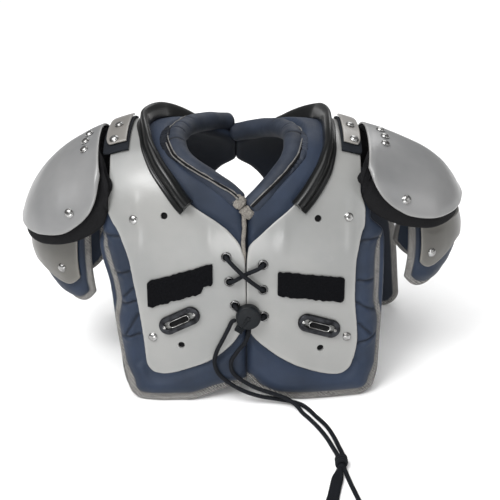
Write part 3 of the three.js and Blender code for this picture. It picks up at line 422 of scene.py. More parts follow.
def frames(path, start=None):
    # directions square to a path, carried along it without twist
    ahead = unit(np.gradient(path, axis=0))
    side = np.zeros_like(path)
    first = np.array(start if start is not None else (0.0, 0.0, 1.0))
    first = first - ahead[0] * first.dot(ahead[0])
    if np.linalg.norm(first) < 1e-3:
        first = np.cross(ahead[0], (1.0, 0.0, 0.0))
    side[0] = unit(first)
    for i in range(1, len(path)):
        side[i] = unit(side[i - 1] - ahead[i] * side[i - 1].dot(ahead[i]))
    return ahead, side, np.cross(ahead, side)


def tubeRings(path, radius, around):
    ahead, side, other = frames(path)
    angle = aroundOnce(around)[None, :, None]
    radius = np.asarray(radius, float)
    radius = radius[..., None] if radius.ndim == 2 else radius.reshape(-1, 1, 1)
    return path[:, None] + radius * (np.cos(angle) * side[:, None] + np.sin(angle) * other[:, None])


def braid(path, radius, around=24, twist=2.6):
    # a round lace with crossing strands on it
    along = np.linspace(0, pathLength(path), len(path))[:, None]
    angle = aroundOnce(around)[None, :]
    strands = np.sin(4 * angle + along * twist) * np.sin(4 * angle - along * twist)
    ends = dome(np.minimum(along, along[-1] - along) / radius * 1.4)
    return radius * (0.95 + 0.05 * strands) * np.maximum(ends, 0.25)


def lathe(name, profile, place, finish, around):
    # a profile of (radius, height) turned about the place's outward direction
    origin, right, up, out = place
    angle = aroundOnce(around)[None, :, None]
    rings = np.array(profile, float)
    radius, height = rings[:, 0][:, None, None], rings[:, 1][:, None, None]
    points = origin + radius * (np.cos(angle) * right + np.sin(angle) * up) + height * out
    return loft(name, points, finish)


def rounded(profile, rounds):
    # cuts the corners of a closed outline again and again
    p = np.array(profile, float)
    for _ in range(rounds):
        after = np.roll(p, -1, axis=0)
        p = np.stack([mix(p, after, 0.25), mix(p, after, 0.75)], axis=1).reshape(-1, 2)
    return p


# the arch over the wearer, inner faces of the pads
arch = {
    "chestDepth": 98, "backDepth": 100, "wallHeight": 130, "wallLean": 10, "height": 252,
    "squareness": 2.5, "wallShare": 0.42, "rounding": 12, "roundingReach": 115, "neckCentre": -12,
    "shoulderReach": 104, "shoulderSlope": 0.52, "shoulderEase": 28, "plateWidth": 100,
}
lifts = {"pad": 16, "plateIn": 16.7, "plate": 19.4, "strap": 20.1, "hinge": 23.3, "rivet": 0.3}


def archPoint(x, girth, hem=0.0):
    x, girth, hem = np.broadcast_arrays(*[np.asarray(v, float) for v in (x, girth, hem)])
    chest = girth <= 1
    along = np.where(chest, girth, 2 - girth)
    fall = np.where(chest, arch["rounding"] * (x / arch["roundingReach"]) ** 2, 0)
    depth = np.where(chest, arch["chestDepth"], arch["backDepth"]) - fall
    past = np.abs(x - arch["neckCentre"]) - arch["shoulderReach"]
    crest = arch["height"] - arch["shoulderSlope"] * (np.hypot(past, arch["shoulderEase"]) + past) / 2
    wallZ = mix(hem, arch["wallHeight"], along / arch["wallShare"])
    wallY = depth - arch["wallLean"] * wallZ / arch["wallHeight"]
    turn = np.clip((along - arch["wallShare"]) / (1 - arch["wallShare"]), 0, 1) * math.pi / 2
    square = arch["squareness"]
    reach = (np.abs(np.cos(turn)) ** square + np.sin(turn) ** square) ** (-1 / square)
    crownY = (depth - arch["wallLean"]) * reach * np.cos(turn)
    crownZ = arch["wallHeight"] + (crest - arch["wallHeight"]) * reach * np.sin(turn)
    straight = along <= arch["wallShare"]
    y, z = np.where(straight, wallY, crownY), np.where(straight, wallZ, crownZ)
    return np.stack([x, np.where(chest, -y, y), z], axis=-1)


def archNormal(x, girth):
    step = 0.002
    x, girth = np.broadcast_arrays(np.asarray(x, float), np.asarray(girth, float))
    along = archPoint(x, np.minimum(2, girth + step)) - archPoint(x, np.maximum(0, girth - step))
    across = archPoint(x + step, girth) - archPoint(x - step, girth)
    normal = unit(np.cross(across, along))
    normal[..., 2] *= ease(np.minimum(girth, 2 - girth) / arch["wallShare"], 0.9, 1.25)
    return unit(normal)


def onArch(x, girth, lift, hem=0.0):
    return archPoint(x, girth, hem) + archNormal(x, girth) * np.asarray(lift, float)[..., None]


def girthAt(x, z, lift):
    low, high = np.zeros_like(np.asarray(x, float)), np.ones_like(np.asarray(x, float))
    for _ in range(30):
        middle = (low + high) / 2
        below = onArch(x, middle, lift)[..., 2] < z
        low, high = np.where(below, middle, low), np.where(below, high, middle)
    return low


def chestPlace(x, z, lift, turn=0):
    # origin, right, up and outward directions of a place on the chest
    step = 0.5

    def at(px, pz):
        return onArch(np.array(float(px)), girthAt(px, pz, lift), lift)

    right = unit(at(x + step, z) - at(x - step, z))
    up = unit(at(x, z + step) - at(x, z - step))
    out = unit(np.cross(right, up))
    up = np.cross(out, right)
    c, s = math.cos(math.radians(turn)), math.sin(math.radians(turn))
    return at(x, z), right * c + up * s, up * c - right * s, out


def standingPlace(origin, out):
    right = unit(np.cross((0.0, 0.0, 1.0) if abs(out[2]) < 0.9 else (0.0, 1.0, 0.0), out))
    return origin, right, np.cross(out, right), out


def fromPlace(place, x, y, z):
    origin, right, up, out = place
    return origin + right * x + up * y + out * z


# free lace ends and their knot: route points chosen, as in the part
laceRadius = 2.25
laceTails = {
    "left": [
        (-10.2, -115, 98.9), (-14, -115.5, 97.2), (-18, -116, 89), (-24, -116, 76), (-30, -116.5, 63),
        (-32.5, -116.5, 51), (-29, -116.5, 38), (-18, -116.5, 26), (-3, -117, 16.5), (14, -117, 10),
        (32, -117, 6.5), (47, -118, 4), (57, -122, 2.8), (64, -131, 2.8), (70, -142, 2.8), (80, -160, 2.8),
        (86, -178, 2.8), (90, -196, 3), (92.3, -210, 4.6), (92.4, -216.2, 5.4),
    ],
    "right": [
        (2.7, -115, 90), (2.4, -115.5, 84), (-1, -116, 74), (-9, -116.5, 63), (-15.5, -117, 51),
        (-14, -117, 39), (-4, -117.5, 29), (11, -118.5, 20.5), (29, -120, 14.5), (43, -123, 10),
        (52, -128.5, 5.4), (57, -136, 2.8), (63, -146, 2.8), (72, -163, 2.8), (79, -180, 2.8), (84, -197, 3),
        (87, -210, 4.6), (87.4, -216.2, 5.4),
    ],
}
knot = {
    "place": (90, -224, 7), "coil": 4.1, "length": 13, "turns": 2.7, "to": -281,
    "flatX": 77, "thinX": 103, "height": 2.6, "flatHalf": (6, 1.5),
}


def laceKnot():
    # two strands wound round the ends, with a flat end and a round end beyond
    x, y, z = knot["place"]
    turn = np.linspace(0, knot["turns"] * 2 * math.pi, 110)
    along = np.linspace(knot["length"] / 2 - 2, 2 - knot["length"] / 2, 110)
    coil = np.stack([x + knot["coil"] * np.cos(turn), y + along, z + knot["coil"] * np.sin(turn)], axis=1)
    coil[:, 2] -= 0.35
    pieces = [loft("knot_turns", tubeRings(coil, braid(coil, laceRadius, 16, 2.2), 16), "lace", None)]
    low = knot["height"]
    core = smoothPath([(x, y + 7, z), (x, y, z - 1), (x - 0.5, y - 7, z - 3)], 1)
    pieces.append(loft("knot_core", tubeRings(core, np.full(len(core), 3.2), 16), "lace", None))
    thin = smoothPath([
        (x + 1, y + 2, z - 1), (x + 2.5, y - 8, low + 1), (mix(x, knot["thinX"], 0.5), -252, low - 0.2),
        (knot["thinX"], knot["to"], low - 0.3),
    ], 0.7)
    pieces.append(loft("round_end", tubeRings(thin, braid(thin, laceRadius, 16), 16), "lace", None))
    flat = smoothPath([
        (x - 0.5, y + 1, z - 2), (x - 2, y - 8, low + 0.6), (mix(x, knot["flatX"], 0.5), -251, low),
        (knot["flatX"], knot["to"], low - 0.9),
    ], 0.9)
    along = np.linspace(0, 1, len(flat))[:, None]
    angle = aroundOnce(28)[None, :]
    wide = mix(2.6, knot["flatHalf"][0], ease(along, 0.05, 0.42)) * mix(0.92, 1, ease(along, 0.8, 0.9))
    thick = mix(2.2, knot["flatHalf"][1] - 0.35, ease(along, 0.05, 0.4))
    ahead, side, other = frames(flat, (1.0, 0.0, 0.0))
    across = blunt(np.cos(angle), 0.7) * wide
    upward = blunt(np.sin(angle), 0.7) * thick
    upward = upward + 0.28 * np.sin(across * 2.2) * np.sign(np.sin(angle)) * ease(along, 0.1, 0.4)
    rings = flat[:, None] + across[..., None] * side[:, None] + upward[..., None] * other[:, None]
    pieces.append(loft("flat_end", rings, "lace", None))
    made = joined("lace_knot_and_ends", pieces)
    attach(made, "pads")
    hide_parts("lace_knot")
    return made


def joined(name, pieces):
    # one object out of several new ones
    if len(pieces) > 1:
        with bpy.context.temp_override(active_object=pieces[0], selected_editable_objects=pieces):
            bpy.ops.object.join()
    pieces[0].name = name
    return pieces[0]


def makeTails():
    end = laceKnot()
    for side in sides:
        path = smoothPath(laceTails[side], 0.6)
        rings = tubeRings(path, braid(path, laceRadius), 24)
        made = loft(f"lace_end_{side}", rings, "lace")
        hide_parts(f"lace_tail_{side}")


makeTails()
print("cords laid")

lamps = [
    {"name": "key", "place": (-0.5, -0.8, 1.2), "size": 0.45, "power": 8},
    {"name": "fill", "place": (1.1, -0.8, 0.7), "size": 0.9, "power": 3},
    {"name": "rear", "place": (0.3, 1.1, 1.2), "size": 0.9, "power": 6},
    {"name": "low", "place": (-0.04, -0.98, 0.08), "size": 0.3, "power": 2.6},
]
studio = {"floor": 3.0, "world": 0.3, "sun": 2.7, "sunFrom": (-0.4, -0.4, 1.0), "sunSoft": 60}


def makeStudio():
    aim = Vector((0, 0, 0.14))
    for lamp in lamps:
        data = bpy.data.lights.new(lamp["name"], "AREA")
        data.energy = lamp["power"]
        data.size = lamp["size"]
        made = bpy.data.objects.new(lamp["name"], data)
        made.location = lamp["place"]
        made.rotation_mode = "QUATERNION"
        made.rotation_quaternion = (aim - made.location).to_track_quat("-Z", "Y")
        bpy.context.scene.collection.objects.link(made)
    sun = bpy.data.lights.new("ceiling", "SUN")
    sun.energy = studio["sun"]
    sun.angle = math.radians(studio["sunSoft"])
    made = bpy.data.objects.new("ceiling", sun)
    made.rotation_mode = "QUATERNION"
    made.rotation_quaternion = Vector(studio["sunFrom"]).to_track_quat("Z", "Y")
    bpy.context.scene.collection.objects.link(made)
    world = bpy.data.worlds.new("studio")
    world.use_nodes = True
    world.node_tree.nodes["Background"].inputs["Color"].default_value = (1, 1, 1, 1)
    world.node_tree.nodes["Background"].inputs["Strength"].default_value = studio["world"]
    bpy.context.scene.world = world
    bpy.context.scene.view_settings.view_transform = "Standard"
    half = studio["floor"] / mm
    corners = [(-half, -half, 0), (half, -half, 0), (half, half, 0), (-half, half, 0)]
    paper = Finish("white paper", Roughness=0.9)
    paper.feed("Base Color", paper.blend(paper.noise(30), rgb(250, 250, 250), rgb(254, 254, 254)))
    finishes["paper"] = paper.material
    floor = makePiece("studio_floor", np.array(corners, float), [(0, 1, 2, 3)], "paper", None, smooth=False)


makeStudio()
print("camera, light and floor set")

# edges of the halves: girth, inner and outer shares of the plate's width. girth is 0 at the
# front hem, 1 at the crest and 2 at the back hem.
plateEdges = {
    "left": [
        (0, -.03, -1), (.1, -.004, -1.015), (.38, -.004, -1.085), (.49, -.01, -1.13), (.542, -.05, -1.18),
        (.584, -.16, -1.23), (.61, -.28, -1.28), (.655, -.53, -1.33), (.707, -.68, -1.3), (.768, -.83, -1.3),
        (.84, -.93, -1.3), (1, -1, -1.3), (1.15, -.86, -1.3), (1.26, -.58, -1.3), (1.32, -.3, -1.36),
        (1.35, -.14, -1.34), (1.39, -.16, -1.3), (1.45, -.44, -1.28), (1.6, -.62, -1.28), (2, -.76, -1.34),
    ],
    "right": [
        (0, .02, 1.06), (.1, .004, 1.1), (.38, .004, 1.06), (.49, .005, 1.06), (.54, .02, 1.08),
        (.58, .15, 1.1), (.615, .29, 1.13), (.65, .44, 1.13), (.707, .6, 1.08), (.768, .71, 1.08),
        (.84, .765, 1.08), (1, .78, 1.08), (1.15, .72, 1.08), (1.26, .42, 1.1), (1.32, .1, 1.24),
        (1.35, -.1, 1.3), (1.39, -.08, 1.4), (1.45, .2, 1.44), (1.6, .42, 1.5), (2, .66, 1.62),
    ],
}
plateHems = {
    "left": [(0, 1), (.12, .68), (.34, .35), (.52, .2), (.8, .03), (.92, .0), (1, .0)],
    "right": [(0, .97), (.07, .79), (.17, .61), (.32, .39), (.5, .2), (.8, .02), (.93, .0), (1, .0)],
}
plates = {
    "hem": 30, "hemRise": 56, "corner": 17, "thick": 2.7, "rows": (130, 90), "columns": 60,
    # soft raised ribs: place across, half width, from and to heights
    "ribs": {
        "left": [(-36, 5, 176, 226), (-104, 4, 168, 216)],
        "right": [(36, 5, 176, 226), (99, 4, 168, 216)],
    },
    "ribHeight": 1.3, "eyeletHole": 4.1, "boltHole": 3.5, "drill": 6,
}


def hemRise(table, rise, base, across, girth, corner, width):
    # the table's rise, a round outer corner, and at the back a round inner one
    atOuter = 1 - dome((1 - across) * width / corner)
    atInner = (girth > 1) * (1 - dome(across * width / corner))
    hem = np.where(girth <= 1, base + rise * through(table, 1)(across), base)
    return hem + corner * (atOuter + atInner)


def archRows(chestRows, backRows):
    # girths of a sheet's rows, closer together at both hems
    close = np.array([0.15, 0.5, 1.0, 1.7, 2.7, 4.0]) * arch["wallShare"] / arch["wallHeight"]
    chest = np.linspace(close[-1] * 1.4, 1, chestRows)
    back = np.linspace(1, 2 - close[-1] * 1.4, backRows)[1:]
    return np.concatenate([[0], close, chest, back, 2 - close[::-1], [2]])


def archSheet(edges, hems, piece, base, lap=0.0):
    girth = archRows(*piece["rows"])[:, None]
    share = graded(piece["columns"])[None, :]
    inner = through(edges, 1)(girth) * arch["plateWidth"]
    outer = through(edges, 2)(girth) * arch["plateWidth"]
    x = mix(inner - lap * np.sign(outer), outer, share)
    girth = np.broadcast_to(girth, x.shape)
    width = np.abs(outer - inner)
    across = np.broadcast_to(share, x.shape)
    hem = hemRise(hems, piece["hemRise"], base, across, girth, piece["corner"], width)
    return x, girth, hem


def border(grid, spacing=0.4):
    loop = np.concatenate([grid[0], grid[1:, -1], grid[-1, -2::-1], grid[-2:0:-1, 0], grid[:1, 0]])
    return evenPath(loop, spacing)


def cutHoles(made, places, radius, depth):
    # drills the plate with one cutter for all its holes
    rings = []
    for place in places:
        angle = aroundOnce(28)[:, None]
        origin, right, up, out = place
        ring = origin + radius * (np.cos(angle) * right + np.sin(angle) * up)
        rings.append(loft("drill", [ring - out * depth, ring + out * depth], "plate", None))
    tool = joined("drill", rings)
    cut = made.modifiers.new("holes", "BOOLEAN")
    cut.object = tool
    cut.operation = "DIFFERENCE"
    cut.solver = "EXACT"
    applied(made)
    bpy.data.objects.remove(tool)


def applied(made):
    graph = bpy.context.evaluated_depsgraph_get()
    mesh = bpy.data.meshes.new_from_object(made.evaluated_get(graph))
    made.modifiers.clear()
    made.data = mesh
    mesh.set_sharp_from_angle(angle=math.radians(50))


fittings = {
    "left": {
        "eyelets": [(-19, 164), (-16, 138), (-11, 112)], "holes": [(-78, 202), (-64, 66)],
        "rivets": [(-107, 197), (-92, 73)], "buckle": (-65, 94, 28),
        "patch": {"left": -96, "right": -32, "top": 146, "tilt": 20, "height": 29},
    },
    "right": {
        "eyelets": [(16, 156), (16, 129), (17, 100)], "holes": [(68, 200), (73, 62)],
        "rivets": [(97, 200), (99, 73)], "buckle": (71, 88, -19),
        "patch": {"left": 30, "right": 95, "top": 144, "tilt": -9, "height": 27},
    },
}


def archPlate(side):
    x, girth, hem = archSheet(plateEdges[side], plateHems[side], plates, plates["hem"])
    half = plates["thick"] / 2
    middle = onArch(x, girth, np.full(x.shape, lifts["plateIn"] + half), hem)
    gap = distanceTo(middle, border(middle))
    thick = half * dome(gap / half)
    rise = np.zeros_like(x)
    for place, width, low, high in plates["ribs"][side]:
        z = middle[..., 2]
        along = ease(z, low - 16, low + 10) * (1 - ease(z, high - 8, high + 8)) * (girth < 1)
        rise += plates["ribHeight"] * hump(x - place, width) * along
    normal = archNormal(x, girth)
    front = middle + normal * (thick + rise)[..., None]
    back = middle - normal * (thick - 0.6 * rise)[..., None]
    made = twoSkins(f"plate_{side}", front, back, "plate", {"edge": np.exp(-gap / 1.6)})
    for kind, radius in (("eyelets", plates["eyeletHole"]), ("holes", plates["boltHole"])):
        spots = [chestPlace(px, pz, lifts["plate"] - half) for px, pz in fittings[side][kind]]
        cutHoles(made, spots, radius, plates["drill"])
    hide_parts(f"arch_plate_{side}")


for side in sides:
    archPlate(side)
print("plates shaped")

padEdges = {
    "left": [
        (0, -.002, -1.21), (.07, -.002, -1.28), (.18, -.002, -1.33), (.38, -.002, -1.38), (.545, -.002, -1.47),
        (.6, -.002, -1.42), (.64, -.03, -1.42), (.68, -.15, -1.34), (.72, -.33, -1.34), (.77, -.58, -1.34),
        (.83, -.72, -1.34), (.92, -.77, -1.34), (1, -.76, -1.34), (1.12, -.66, -1.34), (1.2, -.42, -1.34),
        (1.26, -.2, -1.34), (1.3, -.123, -1.34), (1.37, -.123, -1.43), (1.41, -.3, -1.42), (1.46, -.44, -1.42),
        (1.6, -.58, -1.44), (2, -.72, -1.5),
    ],
    "right": [
        (0, .002, 1.33), (.07, .002, 1.37), (.18, .002, 1.38), (.38, .002, 1.39), (.545, .002, 1.38),
        (.6, .002, 1.36), (.64, .01, 1.22), (.68, .13, 1.22), (.72, .3, 1.12), (.77, .43, 1.12),
        (.83, .51, 1.12), (.92, .54, 1.12), (1, .53, 1.12), (1.12, .43, 1.12), (1.2, .22, 1.12),
        (1.26, 0, 1.2), (1.3, -.117, 1.32), (1.37, -.117, 1.48), (1.41, .06, 1.52), (1.46, .2, 1.56),
        (1.6, .4, 1.72), (2, .72, 1.85),
    ],
}
padHems = {
    "left": [(0, 1), (.22, .6), (.5, .05), (.86, 0), (1, 0)],
    "right": [(0, 1.5), (.08, .6), (.25, .04), (.86, 0), (1, 0)],
}
pads = {
    "hemRise": 17, "corner": 19, "flare": {"left": (8.5, 4), "right": (6, 0)}, "rows": (225, 110),
    "columns": 86, "rim": 8.6, "puff": 3.0, "seamDepth": 2.4, "seamTop": 0.62,
    # welded seams on the chest: from and to, x and height
    "seams": {
        "left": [
            (-138, 176, -117, 175), (-140, 134, -115, 141), (-134, 101, -106, 110), (-130, 67, -98, 75),
            (-120, 72, -106, 97), (-121, 113, -110, 124),
        ],
        "right": [
            (109, 132, 138, 130), (108, 108, 136, 92), (108, 60, 134, 72), (112, 84, 124, 72),
            (110, 172, 136, 174),
        ],
    },
}


def segmentDistance(x, z, seam):
    x1, z1, x2, z2 = seam
    length = math.hypot(x2 - x1, z2 - z1)
    along = np.clip(((x - x1) * (x2 - x1) + (z - z1) * (z2 - z1)) / length**2, 0, 1)
    return np.hypot(x - x1 - along * (x2 - x1), z - z1 - along * (z2 - z1))


def bodyPad(side):
    sign = outward[side]
    x, girth, hem = archSheet(padEdges[side], padHems[side], pads, 0, 0.5)
    low = pads["rim"]
    base = onArch(x, girth, np.full(x.shape, low / 2), hem)
    z = base[..., 2]
    inner = evenPath(base[:, 0], 0.4)
    outside = evenPath(np.concatenate([base[0, 3:], base[1:, -1], base[-1, -2::-1]]), 0.4)
    toInner, toOuter = distanceTo(base, inner), distanceTo(base, outside)
    chest = girth < 1
    # the mesh rim is wide along the hem, narrow up the sides, and set in above the waist
    wide = mix(9.5, 5.5, ease(z, 10, 42)) * (1 - ease(np.abs(girth - 1), 0.5, 0.38))
    inset = 6 * ease(z, 80, 110) * (1 - ease(z, 168, 182)) * chest
    face = toOuter - inset - wide
    tape = ease(face, 0.4, -0.4) * ease(toOuter, inset - 0.5, inset + 0.5)
    rim = low / 2 * (1 + dome(toOuter / 4.2))
    bulge = dome(face / 10)
    lift = rim + (lifts["pad"] - low) * bulge - 0.7 * hump(face, 0.9)
    lift = mix(low / 2, lift, dome(toInner / 9))
    # it swells where no plate presses on it
    share = arch["plateWidth"] * sign
    plateIn = through(plateEdges[side], 1)(girth) * share
    plateOut = through(plateEdges[side], 2)(girth) * share
    across = np.clip((x * sign - plateIn) / (plateOut - plateIn), 0, 1)
    edge = hemRise(plateHems[side], plates["hemRise"], plates["hem"], across, girth, plates["corner"],
                   np.abs(plateOut - plateIn))
    bare = np.maximum(np.maximum(plateIn - x * sign, x * sign - plateOut), edge - z)
    seen, bare = ease(bare, -1, 2), ease(bare, 1.5, 11)
    neck = ease(girth, 0.55, 0.66) * (1 - ease(girth, 1.28, 1.36))
    lift += pads["puff"] * (1 - 0.7 * neck) * bare * ease(face, 1, 15) * dome(toInner / 14)
    lift += 0.4 * bare * ripple(base, 46, 5) * ease(face, 2, 12)
    # painted shade: darkened along the groove where the face meets the rim tape, and in each seam groove
    painted_shade = 0.55 * hump(face, 1.1)
    for seam in pads["seams"][side]:
        gap = segmentDistance(x, z, seam)
        groove = hump(gap, 1.1) * (girth < pads["seamTop"]) * ease(face, -0.5, 2) * seen
        swell = 0.9 * bare * hump(gap - 4.5, 3) * (girth < pads["seamTop"]) * ease(face, 2, 9)
        lift += swell - pads["seamDepth"] * groove
        painted_shade = np.maximum(painted_shade, groove)
    under = low / 2 * (1 - dome(toOuter / 4.2))
    under = mix(low / 2, under, dome(toInner / 7))
    near, far = pads["flare"][side]
    flare = (near * ease(np.abs(x), 14, 60) + far * ease(np.abs(x), 60, 95)) * ease(z, 60, 0) ** 1.5 * chest
    lift, under = lift + flare, under + flare
    normal = archNormal(x, girth)
    skin = archPoint(x, girth, hem)
    front, back = skin + normal * lift[..., None], skin + normal * under[..., None]
    front[..., 2], back[..., 2] = np.maximum(front[..., 2], 0), np.maximum(back[..., 2], 0)
    # the back skin keeps the tape colour only near its outer edge; inside that band it is painted dark, as
    # painted shade on the lining seen through the neck
    lining = ease(toOuter, 8, 6.5)
    marks = {"tape": (tape, lining), "painted_shade": (painted_shade, 1 - lining)}
    made = twoSkins(f"body_pad_{side}_cloth", front, back, "navy", marks)
    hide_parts(f"body_pad_{side}")


for side in sides:
    bodyPad(side)
print("body pads shaped")

collarLine = {
    "left": [
        (.655, -.055, .62), (.69, -.18, .62), (.72, -.33, .62), (.76, -.51, .62), (.8, -.64, .62),
        (.86, -.7, .6), (.93, -.71, .52), (1.02, -.68, .42), (1.12, -.59, .5), (1.2, -.42, .85),
        (1.25, -.28, 1.2), (1.27, -.15, 1.45),
    ],
    "right": [
        (.64, .025, .62), (.68, .15, .62), (.72, .27, .62), (.76, .37, .62), (.8, .44, .62),
        (.86, .47, .58), (.93, .48, .48), (1.02, .45, .32), (1.12, .35, .3), (1.2, .2, .4),
        (1.25, .04, .6), (1.285, -.17, .8),
    ],
}
collars = {
    "radius": 10.3, "around": 44,
    # stitched creases: share of the length, slant, depth, and how far round they reach
    "creases": {
        "left": [(.4, 4, 0.6, .55), (.5, 3, 1.1, .8), (.58, 2, 1.2, .8), (.68, -2, 0.5, .5)],
        "right": [(.44, -3, 0.7, .6), (.55, 2, 0.9, .7), (.68, 2, 0.6, .6)],
    },
}


def collarPath(side):
    rows = np.array(collarLine[side])
    points = onArch(rows[:, 1] * arch["plateWidth"], rows[:, 0], rows[:, 2] * lifts["pad"])
    return smoothPath(points, 0.8)


def neckDirections(path):
    # away from the neck opening and up, square to the path
    ahead = unit(np.gradient(path, axis=0))
    middle = np.array([arch["neckCentre"], -6.0, 0.0])
    away = unit(np.concatenate([path[:, :2] - middle[:2], np.zeros((len(path), 1))], axis=1))
    away = unit(away - ahead * np.sum(away * ahead, axis=1, keepdims=True))
    up = np.cross(ahead, away)
    return away, up * np.sign(up[:, 2:3] + 1e-9)


def collar(side):
    path = collarPath(side)
    away, up = neckDirections(path)
    angle = aroundOnce(collars["around"])[None, :]
    along = np.linspace(0, pathLength(path), len(path))[:, None]
    radius = np.full((len(path), collars["around"]), collars["radius"])
    painted_shade = np.zeros_like(radius)
    for share, slant, depth, reach in collars["creases"][side]:
        gap = along - share * along[-1] - slant * np.cos(angle - 0.8)
        facing = ease(np.cos(angle - 1.0), 1 - 1.5 * reach, 1.15 - reach)
        radius += facing * (0.2 * hump(np.abs(gap) - 5.5, 3.5) - 1.3 * depth * hump(gap, 1.1))
        # painted shade: each crease is darkened along its groove
        painted_shade = np.maximum(painted_shade, facing * hump(gap, 1.0))
    square = np.cos(angle)[..., None] * away[:, None] + np.sin(angle)[..., None] * up[:, None]
    radius += 0.35 * ripple(path[:, None] + radius[..., None] * square, 26, 11)
    radius *= np.maximum(dome(np.minimum(along, along[-1] - along) / 7), 0.12)
    points = path[:, None] + radius[..., None] * square
    made = loft(f"collar_roll_{side}", points, "collar", marks={"painted_shade": painted_shade})
    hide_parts(f"collar_{side}")
    collarPiping(side, path, away, up)


piping = {"radius": 0.65, "angles": {"left": (40, 25), "right": (34,)}, "from": 0.02, "to": 0.72}


def collarPiping(side, path, away, up):
    # two pale welts along the foot of the roll, with a black tube beside them that is painted shadow
    count = len(path)
    span = slice(int(count * piping["from"]), int(count * piping["to"]))
    welts = []
    for k, degrees in enumerate(piping["angles"][side]):
        turn = math.radians(degrees)
        reach = collars["radius"] + 0.5 + 1.6 * k
        line = path + reach * (math.cos(turn) * away + math.sin(turn) * up)
        line = evenPath(line[span], 0.8)
        line[:, 2] += 0.5 * ripple(line, 14, 6 + k)
        wobble = 1 + 0.15 * ripple(line, 5, 3 + k)
        welts.append(loft("welt", tubeRings(line, piping["radius"] * wobble, 12), "piping", None))
    made = joined(f"collar_welts_{side}", welts)
    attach(made, "pads")
    # painted shadow: a black tube in the black foam finish along the foot of the welts
    turn = math.radians(piping["angles"][side][0] - 8)
    line = path + (collars["radius"] - 0.2) * (math.cos(turn) * away + math.sin(turn) * up)
    line = evenPath(line[span], 1)
    loft(f"collar_welt_shadow_{side}", tubeRings(line, np.full(len(line), 1.7), 14), "foam")


ruches = {"left": (0.75, 0.97, 7.5, "mesh"), "right": (0.72, 0.92, 6.5, "collar")}
frontStrip = {"x": -2.6, "from": 150, "to": 208, "radius": 2.1}


def ruchedMesh(side):
    # a gathered crescent on the pad, beside the roll
    low, high, width, finish = ruches[side]
    girth = np.linspace(low, high, 110)[:, None]
    share = np.linspace(-0.4, 1, 26)[None, :]
    foot = through(collarLine[side], 1)(girth) * arch["plateWidth"]
    span = width * np.sin(np.linspace(0.02, math.pi - 0.02, 110))[:, None] ** 0.6
    x = foot + outward[side] * (collars["radius"] * 0.8 + span * share)
    folds = np.sin(girth * 330 + 3 * np.sin(girth * 90) + share * 2.6)
    lift = lifts["pad"] + 0.2 + 1.3 * dome((1 - share) * span / 3) * (1 + 0.5 * folds)
    points = onArch(x, np.broadcast_to(girth, x.shape), lift)
    normal = archNormal(x, np.broadcast_to(girth, x.shape))
    made = twoSkins(f"mesh_gusset_{side}", points, points - normal * 2.4, finish)
    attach(made, "pads")


def frontPiping():
    # the bound edge that shows between the halves under the collar tabs
    z = np.arange(frontStrip["from"], frontStrip["to"], 0.8)
    line = np.array([chestPlace(frontStrip["x"], height, lifts["pad"] + 0.4)[0] for height in z])
    line[:, 0] += 0.5 * ripple(line, 22, 9)
    radius = frontStrip["radius"] * (1 + 0.1 * ripple(line, 6, 2))
    made = loft("front_edge_piping", tubeRings(line, radius, 14), "tab")
    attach(made, "pads")


for side in sides:
    collar(side)
    ruchedMesh(side)
frontPiping()
print("collars rolled")

tabs = {
    "left": {"half": (6.5, 6.6, 6), "shift": (1, -1, -1)},
    "right": {"half": (5.6, 6.4, 6), "shift": (-5, -2.5, -6)},
}


def clothTab(name, origin, right, up, out, half, seed):
    # a folded cloth end: a soft box with puckers
    v = np.linspace(0, math.pi, 30)[:, None]
    a = aroundOnce(44)[None, :]
    x = half[0] * (blunt(np.cos(v), 0.55) * np.ones_like(a))[..., None]
    y = half[1] * (blunt(np.sin(v), 0.55) * blunt(np.cos(a), 0.55))[..., None]
    z = half[2] * (blunt(np.sin(v), 0.55) * blunt(np.sin(a), 0.55))[..., None]
    points = origin + x * right + y * up + z * out
    fold = 0.5 * np.sin(points @ right * 2.1 + 2 * ripple(points, 9, seed))
    fold = fold + 0.4 * ripple(points, 5, seed + 1)
    away = unit(points - origin)
    return loft(name, points + away * fold[..., None], "tab")


def neckTabs():
    for side, seed in (("left", 21), ("right", 31)):
        path = collarPath(side)
        at = path[6]
        ahead = unit(path[8] - path[2])
        away, up = neckDirections(path)
        at = at + up[6] * 2.5 + away[6] * 3.5 + np.array(tabs[side]["shift"])
        clothTab(f"collar_tab_{side}", at, ahead, up[6], away[6], tabs[side]["half"], seed)


neckTabs()
print("neck tabs folded")

trim = {"flange": 14.5, "flangeThick": 2.6, "bead": 9, "beadHeight": 14, "gap": 2, "lip": 4,
        "crest": 0.7, "from": 0.655, "to": 1.28, "steps": 150}


